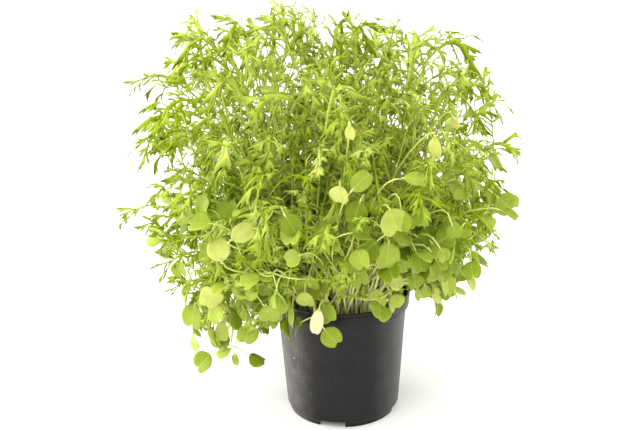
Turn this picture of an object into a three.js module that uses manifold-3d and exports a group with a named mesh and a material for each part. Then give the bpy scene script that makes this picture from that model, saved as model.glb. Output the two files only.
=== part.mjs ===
// Potted mustard greens: a round nursery pot, the soil that fills it and fifty-seven seedlings.
// Millimetres. +Z is up, the pot stands on z = 0, and -Y faces the viewer.
import * as THREE from "three";
import Module from "manifold-3d";
import { mergeVertices } from "three/addons/utils/BufferGeometryUtils.js";

const wasm = await Module();
wasm.setup();

// Pot
const potHeight = 103;
const mouthRadius = 54.6;
const bandHeight = 13;
const wallTopRadius = 51.2;
const wallFootRadius = 45.2;
const wallThickness = 1.2;
const footRadius = 43.2;
const footStep = 5.6;
const footRingWidth = 4;
const bossRadius = 12;
const floorHeight = 3;
const floorThickness = 1.4;
const potSides = 32;
const notches = 4;
const notchWidth = 21;
const notchHeight = 5;
const notchTurn = -103;
const drainHoles = 8;
const drainRadius = 3.2;
const drainCircle = 31;

// Soil
const soilTop = 88;
const soilGap = 0.3;
const soilBump = 1.3;
const holeDepth = 12;
const holeRoom = 0.75;

// Stems
const uprightCount = 44;
const crownBias = 1.05;
const leftLean = 0.28;
const rootCircle = 40;
const wallRoots = [38, 44.5];
const stemRadius = 1.05;
const stemFoot = 3.5;
const stemTurn = 60;
const stemReach = [0.22, 0.46];
const stemClimb = [0.3, 0.45];
const jointRadius = 1.5;
const jointHeight = 2.6;

// Feathery leaves. Half widths and keel depths of the stalk and of the blade's midrib, then where the
// rings of a leaf are along its curve. The stretches after the second ring carry lobes.
const petioleHalf = 0.7;
const petioleKeel = 1.15;
const rachisHalf = 1.0;
const strapHalf = 2.1;
const rachisKeel = 1.3;
const frondSteps = [0.2, 0.36, 0.48, 0.6, 0.72, 0.84, 0.94];
const bladeStart = frondSteps[1];
const bladeEnd = frondSteps[frondSteps.length - 1];

// Lobes: length on a full-sized leaf, how far they sweep forward in degrees, and how far they curl off
// the blade.
const lobe = { length: [12, 20], sweep: [18, 48], curl: [-0.7, 0.5] };
const endLobe = { length: [13, 19], sweep: [48, 62], curl: [-0.35, 0.15] };
const tipLength = 8;
const tipDrop = 1.5;
const fullLeafLength = 95;
const largestLeaf = 1.1;

// How the feathery leaves are spread: degrees off the stem's own line, the least share of the reach that
// they fill, how far they arch over and how far they roll. After each failed try a leaf is shorter and
// smaller.
const sideSpread = [6, 36];
const topSpread = [0, 8];
const leastFill = 0.6;
const arch = [0.12, 0.24];
const outerArch = 0.26;
const leafRoll = 1.2;
const sprigArch = [0.2, 0.34];
const sprigRoll = 0.8;
const leafAttempts = 150;
const shorterBy = 0.28;
const smallerBy = 0.3;
const lowJoint = 120;

// Seed leaves
const seedLeafWidth = 17;
const seedLeafWidths = [0.86, 1.08];
const seedLeafThickness = 0.8;
const seedLeafFold = 0.16;
const seedLeafArch = 0.35;
const seedLeafStalk = [9, 20];
const stalkSag = 0.15;

// Room between neighbours: every stem and leaf is followed by small beads of these radii. The beads of
// two seedlings keep the clearance between them, and the middles of one seedling's own beads keep
// ownSpace.
const beadRadii = {
  stem: 1.2,
  stalk: 1,
  midrib: 1.7,
  lobeEdge: 1.25,
  lobe: 1.4,
  tip: 1.3,
  seedStalk: 0.9,
  seedBlade: 1.7,
};
const beadStep = 2;
const cellSize = 5;
const clearance = 0.5;
const ownSpace = 1.7;
const nearJoint = 4;
const layoutSeed = 4135;

// How far the leaves reach from a point just above the soil, every 10 degrees from 30 below level to
// straight up.
const heart = new THREE.Vector3(0, 0, 105);
const reachRight = [40, 45, 55, 80, 104, 132, 156, 178, 196, 204, 206, 202, 200];
const reachLeft = [110, 118, 128, 144, 150, 158, 172, 192, 210, 216, 214, 206, 200];
const reachFront = [30, 35, 40, 48, 66, 118, 142, 160, 176, 188, 196, 200, 200];
const reachBack = [60, 70, 84, 104, 124, 140, 154, 166, 176, 184, 190, 196, 200];
const lowestRight = 4;
const lowestLeft = -22;
const lowestFront = 17;
const lowestBack = -6;

// Sprigs that stand out from the outline: where each one's tip is.
const sprigTips = [
  [-18, -20, 312],
  [-60, 10, 298],
  [-132, -10, 262],
  [-160, -30, 174],
  [-142, -20, 222],
  [-140, 5, 114],
  [94, 0, 268],
  [118, -10, 244],
  [130, 0, 212],
  [120, -30, 178],
  [60, 10, 288],
  [14, 10, 300],
  [-98, 20, 284],
];

// Short seedlings that lean out and end in a pair of seed leaves: where each stem ends.
const leaningJoints = [
  [-116, -18, 92],
  [-96, -50, 122],
  [-88, -24, 66],
  [-68, -66, 134],
  [-50, -84, 152],
  [-22, -62, 106],
  [26, -62, 122],
  [36, -80, 180],
  [68, 8, 100],
  [76, -24, 134],
  [-78, -84, 184],
  [-128, -12, 146],
  [100, 10, 170],
];

const vec = (x, y, z) => new THREE.Vector3(x, y, z);
const up = vec(0, 0, 1);
const { degToRad, radToDeg, lerp } = THREE.MathUtils;

// Even draws from 0 to 1 that are the same on every run.
function drawsFrom(seed) {
  let state = seed >>> 0;
  return () => {
    state = (state + 0x6d2b79f5) >>> 0;
    let t = state;
    t = Math.imul(t ^ (t >>> 15), t | 1);
    t ^= t + Math.imul(t ^ (t >>> 7), t | 61);
    return ((t ^ (t >>> 14)) >>> 0) / 4294967296;
  };
}

const random = drawsFrom(layoutSeed);
const draw = (low, high) => lerp(low, high, random());

// A closed geometry as a solid: corners that touch are made one, and the flat triangles at a lathe's
// poles go.
function solidOf(geometry) {
  geometry.deleteAttribute("normal");
  geometry.deleteAttribute("uv");
  const merged = mergeVertices(geometry, 1e-3);
  const corners = merged.index.array;
  const triVerts = [];
  for (let i = 0; i < corners.length; i += 3) {
    const [p, q, r] = corners.subarray(i, i + 3);
    if (p !== q && q !== r && r !== p) {
      triVerts.push(p, q, r);
    }
  }
  const vertProperties = merged.attributes.position.array;
  const mesh = new wasm.Mesh({ numProp: 3, vertProperties, triVerts: new Uint32Array(triVerts) });
  return new wasm.Manifold(mesh);
}

// Turns a profile of [radius, z] points round the upright axis.
function lathed(profile) {
  const points = profile.map(([radius, z]) => new THREE.Vector2(radius, z));
  return new THREE.LatheGeometry(points, potSides).rotateX(Math.PI / 2);
}

// An upright peg with few sides, whose first corner points along -Y.
const peg = (radius, sides, bottom, top) =>
  new THREE.CylinderGeometry(radius, radius, top - bottom, sides)
    .rotateX(Math.PI / 2)
    .translate(0, 0, (bottom + top) / 2);

function makePot() {
  const bandFoot = potHeight - bandHeight;
  const bandInner = mouthRadius - wallThickness;
  const floorTop = floorHeight + floorThickness;
  const outer = [
    [0, 0],
    [bossRadius, 0],
    [bossRadius + 2, floorHeight],
    [footRadius - footRingWidth - 0.7, floorHeight],
    [footRadius - footRingWidth + 0.3, 0],
    [footRadius, 0],
    [footRadius + 0.8, footStep - 1.1],
    [wallFootRadius, footStep],
    [wallTopRadius, bandFoot - 1.5],
    [mouthRadius - 1, bandFoot + 0.2],
    [mouthRadius, potHeight - 1],
    [mouthRadius - 0.3, potHeight],
  ];
  const inner = [
    [bandInner + 0.2, potHeight],
    [bandInner, potHeight - 0.7],
    [mouthRadius - 2.3, bandFoot + 0.6],
    [wallTopRadius - wallThickness, bandFoot - 1.2],
    [wallFootRadius - wallThickness, footStep + 0.6],
    [footRadius - 0.7, floorTop],
    [bossRadius + 1.5, floorTop],
    [bossRadius + 0.5, floorThickness],
    [0, floorThickness],
  ];
  let pot = solidOf(lathed([...outer, ...inner]));
  const notch = new THREE.BoxGeometry(12, notchWidth, notchHeight + 1);
  notch.translate(footRadius, 0, (notchHeight - 1) / 2);
  for (let i = 0; i < notches; i++) {
    const turn = degToRad(notchTurn) + (2 * Math.PI * i) / notches;
    pot = pot.subtract(solidOf(notch.clone().rotateZ(turn)));
  }
  const drain = peg(drainRadius, 6, 1, floorTop + 2).translate(drainCircle, 0, 0);
  for (let i = 0; i < drainHoles; i++) {
    pot = pot.subtract(solidOf(drain.clone().rotateZ((2 * Math.PI * (i + 0.5)) / drainHoles)));
  }
  return pot;
}

// The soil fills the pot, its top is lumpy, and it has a three-sided hole for each stem.
function makeSoil(roots) {
  const innerFoot = footStep + 0.6;
  const slope = (wallTopRadius - wallFootRadius) / (potHeight - bandHeight - 1.2 - innerFoot);
  const radiusAt = (z) => wallFootRadius - wallThickness + slope * (z - innerFoot) - soilGap - 0.05;
  const floor = floorHeight + floorThickness + soilGap;
  const lump = lathed([
    [0, floor],
    [footRadius - 1.2, floor],
    [radiusAt(innerFoot) - 0.1, innerFoot + 0.2],
    [radiusAt(soilTop - 2.5), soilTop - 2.5],
    [44, soilTop - 0.5],
    [30, soilTop + 0.5],
    [15, soilTop + 0.8],
    [0, soilTop],
  ]);
  const place = lump.attributes.position;
  for (let i = 0; i < place.count; i++) {
    if (place.getZ(i) > soilTop - 2) {
      const bump = soilBump * Math.sin(0.35 * place.getX(i) + 1) * Math.cos(0.31 * place.getY(i));
      place.setZ(i, place.getZ(i) + bump);
    }
  }
  let soil = solidOf(lump);
  const hole = peg(stemRadius + holeRoom, 3, soilTop - holeDepth, soilTop + 6);
  for (const root of roots) {
    const turned = hole.clone().rotateZ(root.azimuth + 1.5 * Math.PI);
    soil = soil.subtract(solidOf(turned.translate(root.x, root.y, 0)));
  }
  return soil;
}

// The level direction across a curve, turned by roll round the tangent.
function frameAt(tangent, across, roll) {
  const side = across.clone().addScaledVector(tangent, -across.dot(tangent)).normalize();
  const face = side.clone().cross(tangent);
  const turned = side.clone().multiplyScalar(Math.cos(roll)).addScaledVector(face, Math.sin(roll));
  return { tangent, side: turned, face: turned.clone().cross(tangent) };
}

function acrossOf(direction) {
  const flat = vec(-direction.y, direction.x, 0);
  return flat.length() < 1e-6 ? vec(1, 0, 0) : flat.normalize();
}

// A leafy limb's cross-section is flat on top with a keel beneath, in the order left, right, keel.
function leafRing(centre, frame, half, keel) {
  return [
    centre.clone().addScaledVector(frame.side, -half),
    centre.clone().addScaledVector(frame.side, half),
    centre.clone().addScaledVector(frame.face, -keel),
  ];
}

function stemRing(centre, frame, radius) {
  return [
    centre.clone().addScaledVector(frame.side, -0.866 * radius).addScaledVector(frame.face, 0.5 * radius),
    centre.clone().addScaledVector(frame.side, 0.866 * radius).addScaledVector(frame.face, 0.5 * radius),
    centre.clone().addScaledVector(frame.face, -radius),
  ];
}

// Grows a limb of three-point rings out of the triangle root, whose corners are indices into points. A
// lobe stands on the side face between two rings, and the limb ends in a point where it has a tip.
function growLimb(points, triangles, root, rings, lobes, tip) {
  const start = [0, 1, 2].map((shift) => {
    const turned = [0, 1, 2].map((i) => root[(i + shift) % 3]);
    return { turned, length: turned.reduce((sum, p, i) => sum + points[p].distanceTo(rings[0][i]), 0) };
  });
  let low = start.sort((p, q) => p.length - q.length)[0].turned;
  const pyramid = (base, apex) => {
    const at = points.push(apex) - 1;
    base.forEach((p, i) => triangles.push([p, base[(i + 1) % base.length], at]));
  };
  rings.forEach((ring, k) => {
    const high = ring.map((p) => points.push(p) - 1);
    for (let i = 0; i < 3; i++) {
      const j = (i + 1) % 3;
      const here = lobes.find((l) => l.gap === k && i === (l.side > 0 ? 1 : 2));
      if (here) {
        pyramid([low[i], low[j], high[j], high[i]], here.tip);
      } else {
        triangles.push([low[i], low[j], high[j]], [low[i], high[j], high[i]]);
      }
    }
    low = high;
  });
  if (tip) {
    pyramid(low, tip);
  }
  return low;
}

const beadsAlong = (from, to, radius, beads) => {
  const steps = Math.max(1, Math.ceil(from.distanceTo(to) / beadStep));
  for (let i = 0; i < steps; i++) {
    beads.push({ at: from.clone().lerp(to, (i + 0.5) / steps), radius });
  }
};

// A feathery leaf on a curve of four control points: a thin stalk, pairs of pointed lobes and a forked
// tip. It widens towards the tip, where the last pair of lobes makes the fork.
function makeFrond(controls, roll, size) {
  const curve = new THREE.CubicBezierCurve3(...controls);
  const across = acrossOf(controls[3].clone().sub(controls[0]));
  const frames = frondSteps.map((t) => frameAt(curve.getTangent(t), across, roll * t));
  const rings = frondSteps.map((t, k) => {
    const blade = (t - bladeStart) / (bladeEnd - bladeStart);
    return blade < 0
      ? leafRing(curve.getPoint(t), frames[k], petioleHalf, petioleKeel)
      : leafRing(curve.getPoint(t), frames[k], lerp(rachisHalf, strapHalf, blade), rachisKeel);
  });
  const lobes = [];
  for (let gap = 2; gap < rings.length; gap++) {
    const kind = gap === rings.length - 1 ? endLobe : lobe;
    for (const side of [1, -1]) {
      const length = size * draw(...kind.length);
      const sweep = degToRad(draw(...kind.sweep));
      const curl = draw(...kind.curl);
      const frame = frames[gap - 1];
      const edge = side > 0 ? 1 : 0;
      const root = (share) => rings[gap - 1][edge].clone().lerp(rings[gap][edge], share);
      const reach = frame.side
        .clone()
        .multiplyScalar(side * Math.cos(sweep))
        .addScaledVector(frame.tangent, Math.sin(sweep))
        .addScaledVector(frame.face, curl)
        .normalize();
      const tip = root(0.5).addScaledVector(reach, length);
      lobes.push({ gap, side, tip, near: root(0.15), middle: root(0.5), far: root(0.85) });
    }
  }
  const end = frames[frames.length - 1];
  const tip = controls[3].clone().addScaledVector(end.tangent, tipLength * size);
  tip.addScaledVector(end.face, -tipDrop);
  const beads = [];
  let before = controls[0];
  for (const t of [0.1, ...frondSteps]) {
    const next = curve.getPoint(t);
    beadsAlong(before, next, t > bladeStart ? beadRadii.midrib : beadRadii.stalk, beads);
    before = next;
  }
  for (const one of lobes) {
    beadsAlong(one.near, one.tip, beadRadii.lobeEdge, beads);
    beadsAlong(one.far, one.tip, beadRadii.lobeEdge, beads);
    beadsAlong(one.middle, one.middle.clone().lerp(one.tip, 0.5), beadRadii.lobe, beads);
  }
  beadsAlong(before, tip, beadRadii.tip, beads);
  return { kind: "frond", rings, lobes, tip, beads };
}

// A heart-shaped seed leaf on a thin stalk. Its blade is a folded plate with two round lobes at the far
// end.
function makeSeedLeaf(start, along, normal, stalk, width) {
  const away = along.clone().normalize();
  const middle = start.clone().addScaledVector(away, 0.5 * stalk);
  const foot = start.clone().addScaledVector(away, stalk).addScaledVector(up, -stalkSag * stalk);
  const out = foot.clone().sub(middle).normalize();
  const side = out.clone().cross(normal).normalize();
  const face = side.clone().cross(out);
  const frame = { tangent: out, side, face };
  const rings = [
    leafRing(middle, frame, petioleHalf, petioleKeel),
    leafRing(foot, frame, petioleHalf, seedLeafThickness),
  ];
  const half = width / 2;
  const place = (u, v, w) =>
    foot
      .clone()
      .addScaledVector(side, u)
      .addScaledVector(out, v)
      .addScaledVector(face, w - (seedLeafArch * v * v) / width);
  const rise = seedLeafFold * half;
  const outline = [
    place(0.86 * half, 0.22 * width, rise),
    place(half, 0.5 * width, 1.3 * rise),
    place(0.62 * half, 0.84 * width, rise),
    place(0, 0.68 * width, 0),
    place(-0.62 * half, 0.84 * width, rise),
    place(-half, 0.5 * width, 1.3 * rise),
    place(-0.86 * half, 0.22 * width, rise),
  ];
  const beads = [];
  beadsAlong(start, foot, beadRadii.seedStalk, beads);
  for (const u of [-0.8, -0.4, 0, 0.4, 0.8]) {
    const far = Math.abs(u) < 0.2 ? 0.66 : 0.8;
    const near = Math.abs(u) > 0.6 ? 0.24 : 0.05;
    const from = place(u * half, near * width, 0);
    const to = place(u * half, far * width, 0.1 * half);
    beadsAlong(from, to, beadRadii.seedBlade, beads);
  }
  return { kind: "seedLeaf", rings, outline, blade: face, beads };
}

function growSeedLeaf(points, triangles, root, leaf) {
  const [left, right, keel] = growLimb(points, triangles, root, leaf.rings, [], null);
  const top = leaf.outline.map((p) => points.push(p) - 1);
  const below = leaf.outline.map(
    (p) => points.push(p.clone().addScaledVector(leaf.blade, -seedLeafThickness)) - 1,
  );
  triangles.push([right, keel, below[0]], [right, below[0], top[0]]);
  triangles.push([keel, left, top[6]], [keel, top[6], below[6]]);
  for (let i = 0; i < 6; i++) {
    triangles.push([top[i], below[i], below[i + 1]], [top[i], below[i + 1], top[i + 1]]);
  }
  triangles.push([right, top[0], top[3]], [top[0], top[1], top[3]], [top[1], top[2], top[3]]);
  triangles.push([left, right, top[3]]);
  triangles.push([left, top[3], top[6]], [top[3], top[5], top[6]], [top[3], top[4], top[5]]);
  triangles.push([keel, below[3], below[0]], [below[0], below[3], below[1]]);
  triangles.push([below[1], below[3], below[2]], [keel, below[6], below[3]]);
  triangles.push([below[3], below[6], below[5]], [below[3], below[5], below[4]]);
}

// A stem rises straight out of its hole, then follows a curve to the joint where its leaves begin. The
// joint has eight faces: one on the stem, six round the sides and one on top, and each leaf grows out of
// a face of its own.
function makeStem(root, controls, roll) {
  const curve = new THREE.CubicBezierCurve3(...controls);
  const across = acrossOf(vec(Math.cos(root.azimuth), Math.sin(root.azimuth), 0));
  const straight = frameAt(up.clone(), across, 0);
  const foot = vec(root.x, root.y, soilTop - holeDepth + 0.35);
  const rings = [stemRing(foot, straight, stemRadius), stemRing(controls[0], straight, stemRadius)];
  let frame;
  for (const t of [1 / 3, 2 / 3, 1]) {
    frame = frameAt(curve.getTangent(t), across, roll * t);
    rings.push(stemRing(curve.getPoint(t), frame, stemRadius));
  }
  const crownCentre = controls[3].clone().addScaledVector(frame.tangent, jointHeight);
  const crown = stemRing(crownCentre, frame, -jointRadius);
  const top = [crown[2], crown[0], crown[1]];
  const base = rings[rings.length - 1];
  const faces = [];
  for (let i = 0; i < 3; i++) {
    const j = (i + 1) % 3;
    faces.push({ corners: [`b${i}`, `b${j}`, `t${i}`], points: [base[i], base[j], top[i]] });
    faces.push({ corners: [`b${j}`, `t${j}`, `t${i}`], points: [base[j], top[j], top[i]] });
  }
  faces.push({ corners: ["t0", "t1", "t2"], points: top });
  for (const face of faces) {
    face.centre = vec(0, 0, 0);
    face.points.forEach((p) => face.centre.addScaledVector(p, 1 / 3));
    const [p, q, r] = face.points;
    face.normal = q.clone().sub(p).cross(r.clone().sub(p)).normalize();
    face.leaf = null;
  }
  const beads = [];
  const places = curve.getPoints(12);
  for (let i = 0; i + 1 < places.length; i++) {
    beadsAlong(places[i], places[i + 1], beadRadii.stem, beads);
  }
  return { rings, top, faces, frame, beads };
}

function seedlingGeometry(stem) {
  const points = stem.rings[0].slice();
  const triangles = [[0, 2, 1]];
  const base = growLimb(points, triangles, [0, 1, 2], stem.rings.slice(1), [], null);
  const top = stem.top.map((p) => points.push(p) - 1);
  const corners = { b0: base[0], b1: base[1], b2: base[2], t0: top[0], t1: top[1], t2: top[2] };
  for (const face of stem.faces) {
    const root = face.corners.map((name) => corners[name]);
    if (!face.leaf) {
      triangles.push(root);
    } else if (face.leaf.kind === "frond") {
      growLimb(points, triangles, root, face.leaf.rings, face.leaf.lobes, face.leaf.tip);
    } else {
      growSeedLeaf(points, triangles, root, face.leaf);
    }
  }
  return new THREE.BufferGeometry().setFromPoints(points).setIndex(triangles.flat());
}

// Every accepted organ's beads, in cells of a coarse grid, with the number of the seedling that they
// belong to. A seedling's own leaves may come nearer to each other, and meet at its joint.
const cells = new Map();
const cellOf = (at) => [at.x, at.y, at.z].map((v) => Math.floor(v / cellSize));

function clearOfOthers(organ, owner, joint) {
  for (const { at, radius } of organ.beads) {
    const away = joint && at.distanceTo(joint) > nearJoint;
    const [x, y, z] = cellOf(at);
    for (let n = 0; n < 27; n++) {
      const near = [x + (n % 3) - 1, y + (Math.floor(n / 3) % 3) - 1, z + Math.floor(n / 9) - 1];
      for (const other of cells.get(near.join()) ?? []) {
        const gap = at.distanceTo(other.at);
        if (other.owner !== owner && gap < radius + other.radius + clearance) {
          return false;
        }
        if (other.owner === owner && away && gap < ownSpace) {
          return false;
        }
      }
    }
  }
  return true;
}

// Whether a bead keeps off the pot, the soil and the ground.
function clearOfPot(organ) {
  return organ.beads.every(({ at, radius }) => {
    const out = Math.hypot(at.x, at.y);
    const room = radius + 0.9;
    if (at.z < room) {
      return false;
    }
    if (out < wallTopRadius - 2 - room) {
      return at.z > soilTop + soilBump + 1 + radius;
    }
    return at.z > potHeight + room || out > mouthRadius + room;
  });
}

function keep(organ, owner) {
  for (const { at, radius } of organ.beads) {
    const key = cellOf(at).join();
    if (!cells.has(key)) {
      cells.set(key, []);
    }
    cells.get(key).push({ at, radius, owner });
  }
}

function tableAt(table, elevation) {
  const place = Math.min(Math.max((elevation + 30) / 10, 0), table.length - 1.001);
  const k = Math.floor(place);
  return lerp(table[k], table[k + 1], place - k);
}

function sideWeights(x, y) {
  const flat = Math.hypot(x, y) || 1;
  const parts = [Math.max(0, x), Math.max(0, -x), Math.max(0, -y), Math.max(0, y)];
  return parts.map((p) => (p / flat) ** 2);
}

function blend(x, y, values) {
  return sideWeights(x, y).reduce((sum, w, i) => sum + w * values[i], 0);
}

function reachToward(direction) {
  const elevation = radToDeg(Math.asin(direction.z));
  const tables = [reachRight, reachLeft, reachFront, reachBack];
  return blend(
    direction.x,
    direction.y,
    tables.map((t) => tableAt(t, elevation)),
  );
}

const lowestAt = (x, y) => blend(x, y, [lowestRight, lowestLeft, lowestFront, lowestBack]);

// Lifts a direction until it is no lower than the leaves hang on that side.
function raise(direction) {
  const lowest = Math.sin(degToRad(lowestAt(direction.x, direction.y) - 4));
  if (direction.z < lowest) {
    direction.setZ(lowest).normalize();
  }
}

const goldenTurn = Math.PI * (3 - Math.sqrt(5));
const seedlings = [];

function addSeedling(root, controls, direction, leaning) {
  const owner = seedlings.length;
  const stem = makeStem(root, controls, degToRad(draw(-stemTurn, stemTurn)));
  if (!clearOfPot(stem) || !clearOfOthers(stem, owner)) {
    return false;
  }
  keep(stem, owner);
  seedlings.push({ root, stem, direction, leaning, joint: controls[3], fronds: 0 });
  return true;
}

// Leaning seedlings: they root near the wall, on the side that they lean to.
for (const [x, y, z] of leaningJoints) {
  for (let attempt = 0; attempt < 60; attempt++) {
    const azimuth = Math.atan2(y, x) + degToRad(draw(-1, 1) * (4 + attempt * 0.5));
    const rootRadius = draw(...wallRoots);
    const root = { x: rootRadius * Math.cos(azimuth), y: rootRadius * Math.sin(azimuth), azimuth };
    const joint = vec(x, y, z);
    const start = vec(root.x, root.y, soilTop + stemFoot);
    const over = vec(lerp(start.x, x, 0.9), lerp(start.y, y, 0.9), Math.max(z + 6, potHeight + 23));
    const controls = [start, vec(root.x, root.y, soilTop + 24 + attempt * 0.6), over, joint];
    if (addSeedling(root, controls, joint.clone().sub(heart).normalize(), true)) {
      break;
    }
  }
}

// Upright seedlings: roots spread evenly over the soil, each leaning the way it stands from the middle.
for (let i = 0; i < uprightCount; i++) {
  const share = (i + 0.5) / uprightCount;
  const rootRadius = rootCircle * Math.sqrt(share);
  const rootTurn = i * goldenTurn;
  const root = { x: rootRadius * Math.cos(rootTurn), y: rootRadius * Math.sin(rootTurn) };
  for (let attempt = 0; attempt < 40; attempt++) {
    const azimuth = rootTurn + leftLean * Math.sin(rootTurn) + degToRad(draw(-14, 14));
    const lowest = Math.sin(degToRad(lowestAt(Math.cos(azimuth), Math.sin(azimuth)) + 9));
    const rise = 1 - (1 - lowest) * Math.pow(share, crownBias);
    const flat = Math.sqrt(1 - rise * rise);
    const direction = vec(flat * Math.cos(azimuth), flat * Math.sin(azimuth), rise);
    const distance = draw(...stemReach) * reachToward(direction);
    const joint = heart.clone().addScaledVector(direction, distance);
    const start = vec(root.x, root.y, soilTop + stemFoot);
    const climb = draw(...stemClimb) * distance + attempt * 0.6;
    const bend = joint.clone().addScaledVector(direction, -0.4 * distance);
    bend.addScaledVector(up, 0.08 * distance);
    root.azimuth = azimuth;
    const controls = [start, start.clone().addScaledVector(up, climb), bend, joint];
    if (addSeedling(root, controls, direction, false)) {
      break;
    }
  }
}

// The curve of a feathery leaf from a face of its seedling's joint to a tip, arching over before it hangs.
function frondCurve(seedling, face, tip, droop) {
  const span = tip.clone().sub(seedling.joint);
  const length = span.length();
  const out = span.clone().normalize();
  const lean = seedling.stem.frame.tangent.clone().multiplyScalar(0.4).addScaledVector(out, 0.5);
  lean.addScaledVector(face.normal, 0.25).addScaledVector(up, 0.15).normalize();
  const flat = vec(out.x, out.y, 0);
  const second = tip.clone().addScaledVector(up, droop * length).addScaledVector(flat, -0.12 * length);
  return [face.centre, face.centre.clone().addScaledVector(lean, 0.38 * length), second, tip];
}

function tryLeaf(owner, face, leaf) {
  const outward = leaf.rings[0][2].clone().sub(face.centre).normalize().dot(face.normal);
  if (outward < 0.3 || !clearOfPot(leaf) || !clearOfOthers(leaf, owner, seedlings[owner].joint)) {
    return false;
  }
  keep(leaf, owner);
  face.leaf = leaf;
  seedlings[owner].fronds += leaf.kind === "frond" ? 1 : 0;
  return true;
}

// A side face looks along its own angle in the joint's frame, 60 degrees from the next. Faces 1 and 4 are
// opposite and take the seed leaves. The others and the top take feathery leaves, at most one on each
// side.
const sideAngles = [90, 30, -30, -90, -150, 150];
const seedLeafFaces = [1, 4];
const frondSides = [
  [0, 5],
  [2, 3],
];
const topFace = 6;

function faceToward(stem, point) {
  const span = point.clone().sub(stem.faces[topFace].centre).normalize();
  const off = Math.acos(Math.min(1, span.dot(stem.frame.tangent)));
  if (off < degToRad(16) && !stem.faces[topFace].leaf) {
    return topFace;
  }
  const angle = radToDeg(Math.atan2(span.dot(stem.frame.face), span.dot(stem.frame.side)));
  const gap = (k) => Math.abs(((angle - sideAngles[k] + 540) % 360) - 180);
  const free = frondSides.filter((pair) => pair.every((k) => !stem.faces[k].leaf)).flat();
  const best = free.sort((a, b) => gap(a) - gap(b))[0];
  return best !== undefined && gap(best) < 30 ? best : -1;
}

// The standing-out sprigs come first, each from an upright seedling that points nearly at it.
for (const [x, y, z] of sprigTips) {
  const target = vec(x, y, z);
  const toward = target.clone().sub(heart).normalize();
  const nearest = seedlings
    .map((s, owner) => ({ owner, fit: s.leaning ? -9 : s.direction.dot(toward) - 0.1 * s.fronds }))
    .sort((a, b) => b.fit - a.fit)
    .slice(0, 4);
  for (let attempt = 0; attempt < 32; attempt++) {
    const { owner } = nearest[attempt % nearest.length];
    const stem = seedlings[owner].stem;
    const shift = vec(random() - 0.5, random() - 0.5, random() - 0.5).multiplyScalar(0.8 * attempt);
    const tip = target.clone().add(shift);
    const k = faceToward(stem, tip);
    const droop = draw(...sprigArch);
    const roll = draw(-sprigRoll, sprigRoll);
    if (k < 0) {
      continue;
    }
    const controls = frondCurve(seedlings[owner], stem.faces[k], tip, droop);
    if (tryLeaf(owner, stem.faces[k], makeFrond(controls, roll, 1))) {
      break;
    }
  }
}

// Pairs of seed leaves at every joint.
seedlings.forEach(({ stem, direction }, owner) => {
  for (const k of seedLeafFaces) {
    const face = stem.faces[k];
    for (let attempt = 0; attempt < 14; attempt++) {
      const turn = degToRad(sideAngles[k] + 16 * draw(-1, 1));
      const along = vec(0, 0, 0)
        .addScaledVector(stem.frame.side, Math.cos(turn))
        .addScaledVector(stem.frame.face, Math.sin(turn))
        .addScaledVector(stem.frame.tangent, draw(0.1, 0.5))
        .addScaledVector(up, draw(-0.3, 0.1));
      const normal = direction.clone().addScaledVector(up, draw(0.1, 0.9));
      normal.addScaledVector(vec(random() - 0.5, random() - 0.5, random() - 0.5), 0.8);
      const width = seedLeafWidth * draw(...seedLeafWidths) * (1 - 0.02 * attempt);
      const leaf = makeSeedLeaf(face.centre, along, normal, draw(...seedLeafStalk), width);
      if (tryLeaf(owner, face, leaf)) {
        break;
      }
    }
  }
});

// Feathery leaves, one round at a time: one from each side of the joint, and one from its top.
for (let round = 0; round < 3; round++) {
  seedlings.forEach((seedling, owner) => {
    const { stem, joint, direction, leaning } = seedling;
    const pair = frondSides[(round + owner) % 3];
    const low = leaning && joint.z < lowJoint;
    if (low || (pair ? pair.some((k) => stem.faces[k].leaf) : stem.faces[topFace].leaf)) {
      return;
    }
    for (let attempt = 0; attempt < leafAttempts; attempt++) {
      const tired = attempt / leafAttempts;
      const k = pair ? pair[random() < 0.5 ? 0 : 1] : topFace;
      const apart = k % 3 === 0 ? draw(-8, 30) : draw(-30, 8);
      const turn = degToRad(pair ? sideAngles[k] + apart : 12 * apart);
      const spread = Math.tan(degToRad(draw(...(pair ? sideSpread : topSpread))));
      const toward = direction
        .clone()
        .addScaledVector(stem.frame.side, spread * Math.cos(turn))
        .addScaledVector(stem.frame.face, spread * Math.sin(turn))
        .normalize();
      raise(toward);
      const fill = lerp(leastFill, 1, Math.sqrt(random())) * (1 - shorterBy * tired);
      const tip = heart.clone().addScaledVector(toward, reachToward(toward) * fill);
      const droop = draw(...arch) + outerArch * Math.hypot(toward.x, toward.y) * random();
      const controls = frondCurve(seedling, stem.faces[k], tip, droop);
      const whole = Math.min(largestLeaf, controls[0].distanceTo(tip) / fullLeafLength);
      const leaf = makeFrond(controls, draw(-leafRoll, leafRoll), whole * (1 - smallerBy * tired));
      if (tryLeaf(owner, stem.faces[k], leaf)) {
        break;
      }
    }
  });
}

const leafMaterial = (shade) =>
  new THREE.MeshStandardMaterial({ color: new THREE.Color(shade), roughness: 0.55, metalness: 0 });

const plastic = new THREE.MeshStandardMaterial({ color: 0x38333a, roughness: 0.5, metalness: 0 });
const earth = new THREE.MeshStandardMaterial({ color: 0x2b2018, roughness: 0.95, metalness: 0 });
const shades = [0xa9bf43, 0xb4c84f, 0x9db33a];

function geometryOf(solid) {
  const { vertProperties, triVerts } = solid.getMesh();
  const geometry = new THREE.BufferGeometry().setIndex(new THREE.BufferAttribute(triVerts, 1));
  return geometry.setAttribute("position", new THREE.BufferAttribute(vertProperties, 3));
}

function meshOf(name, geometry, material) {
  geometry.computeVertexNormals();
  const mesh = new THREE.Mesh(geometry, material);
  mesh.name = name;
  return mesh;
}

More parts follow.
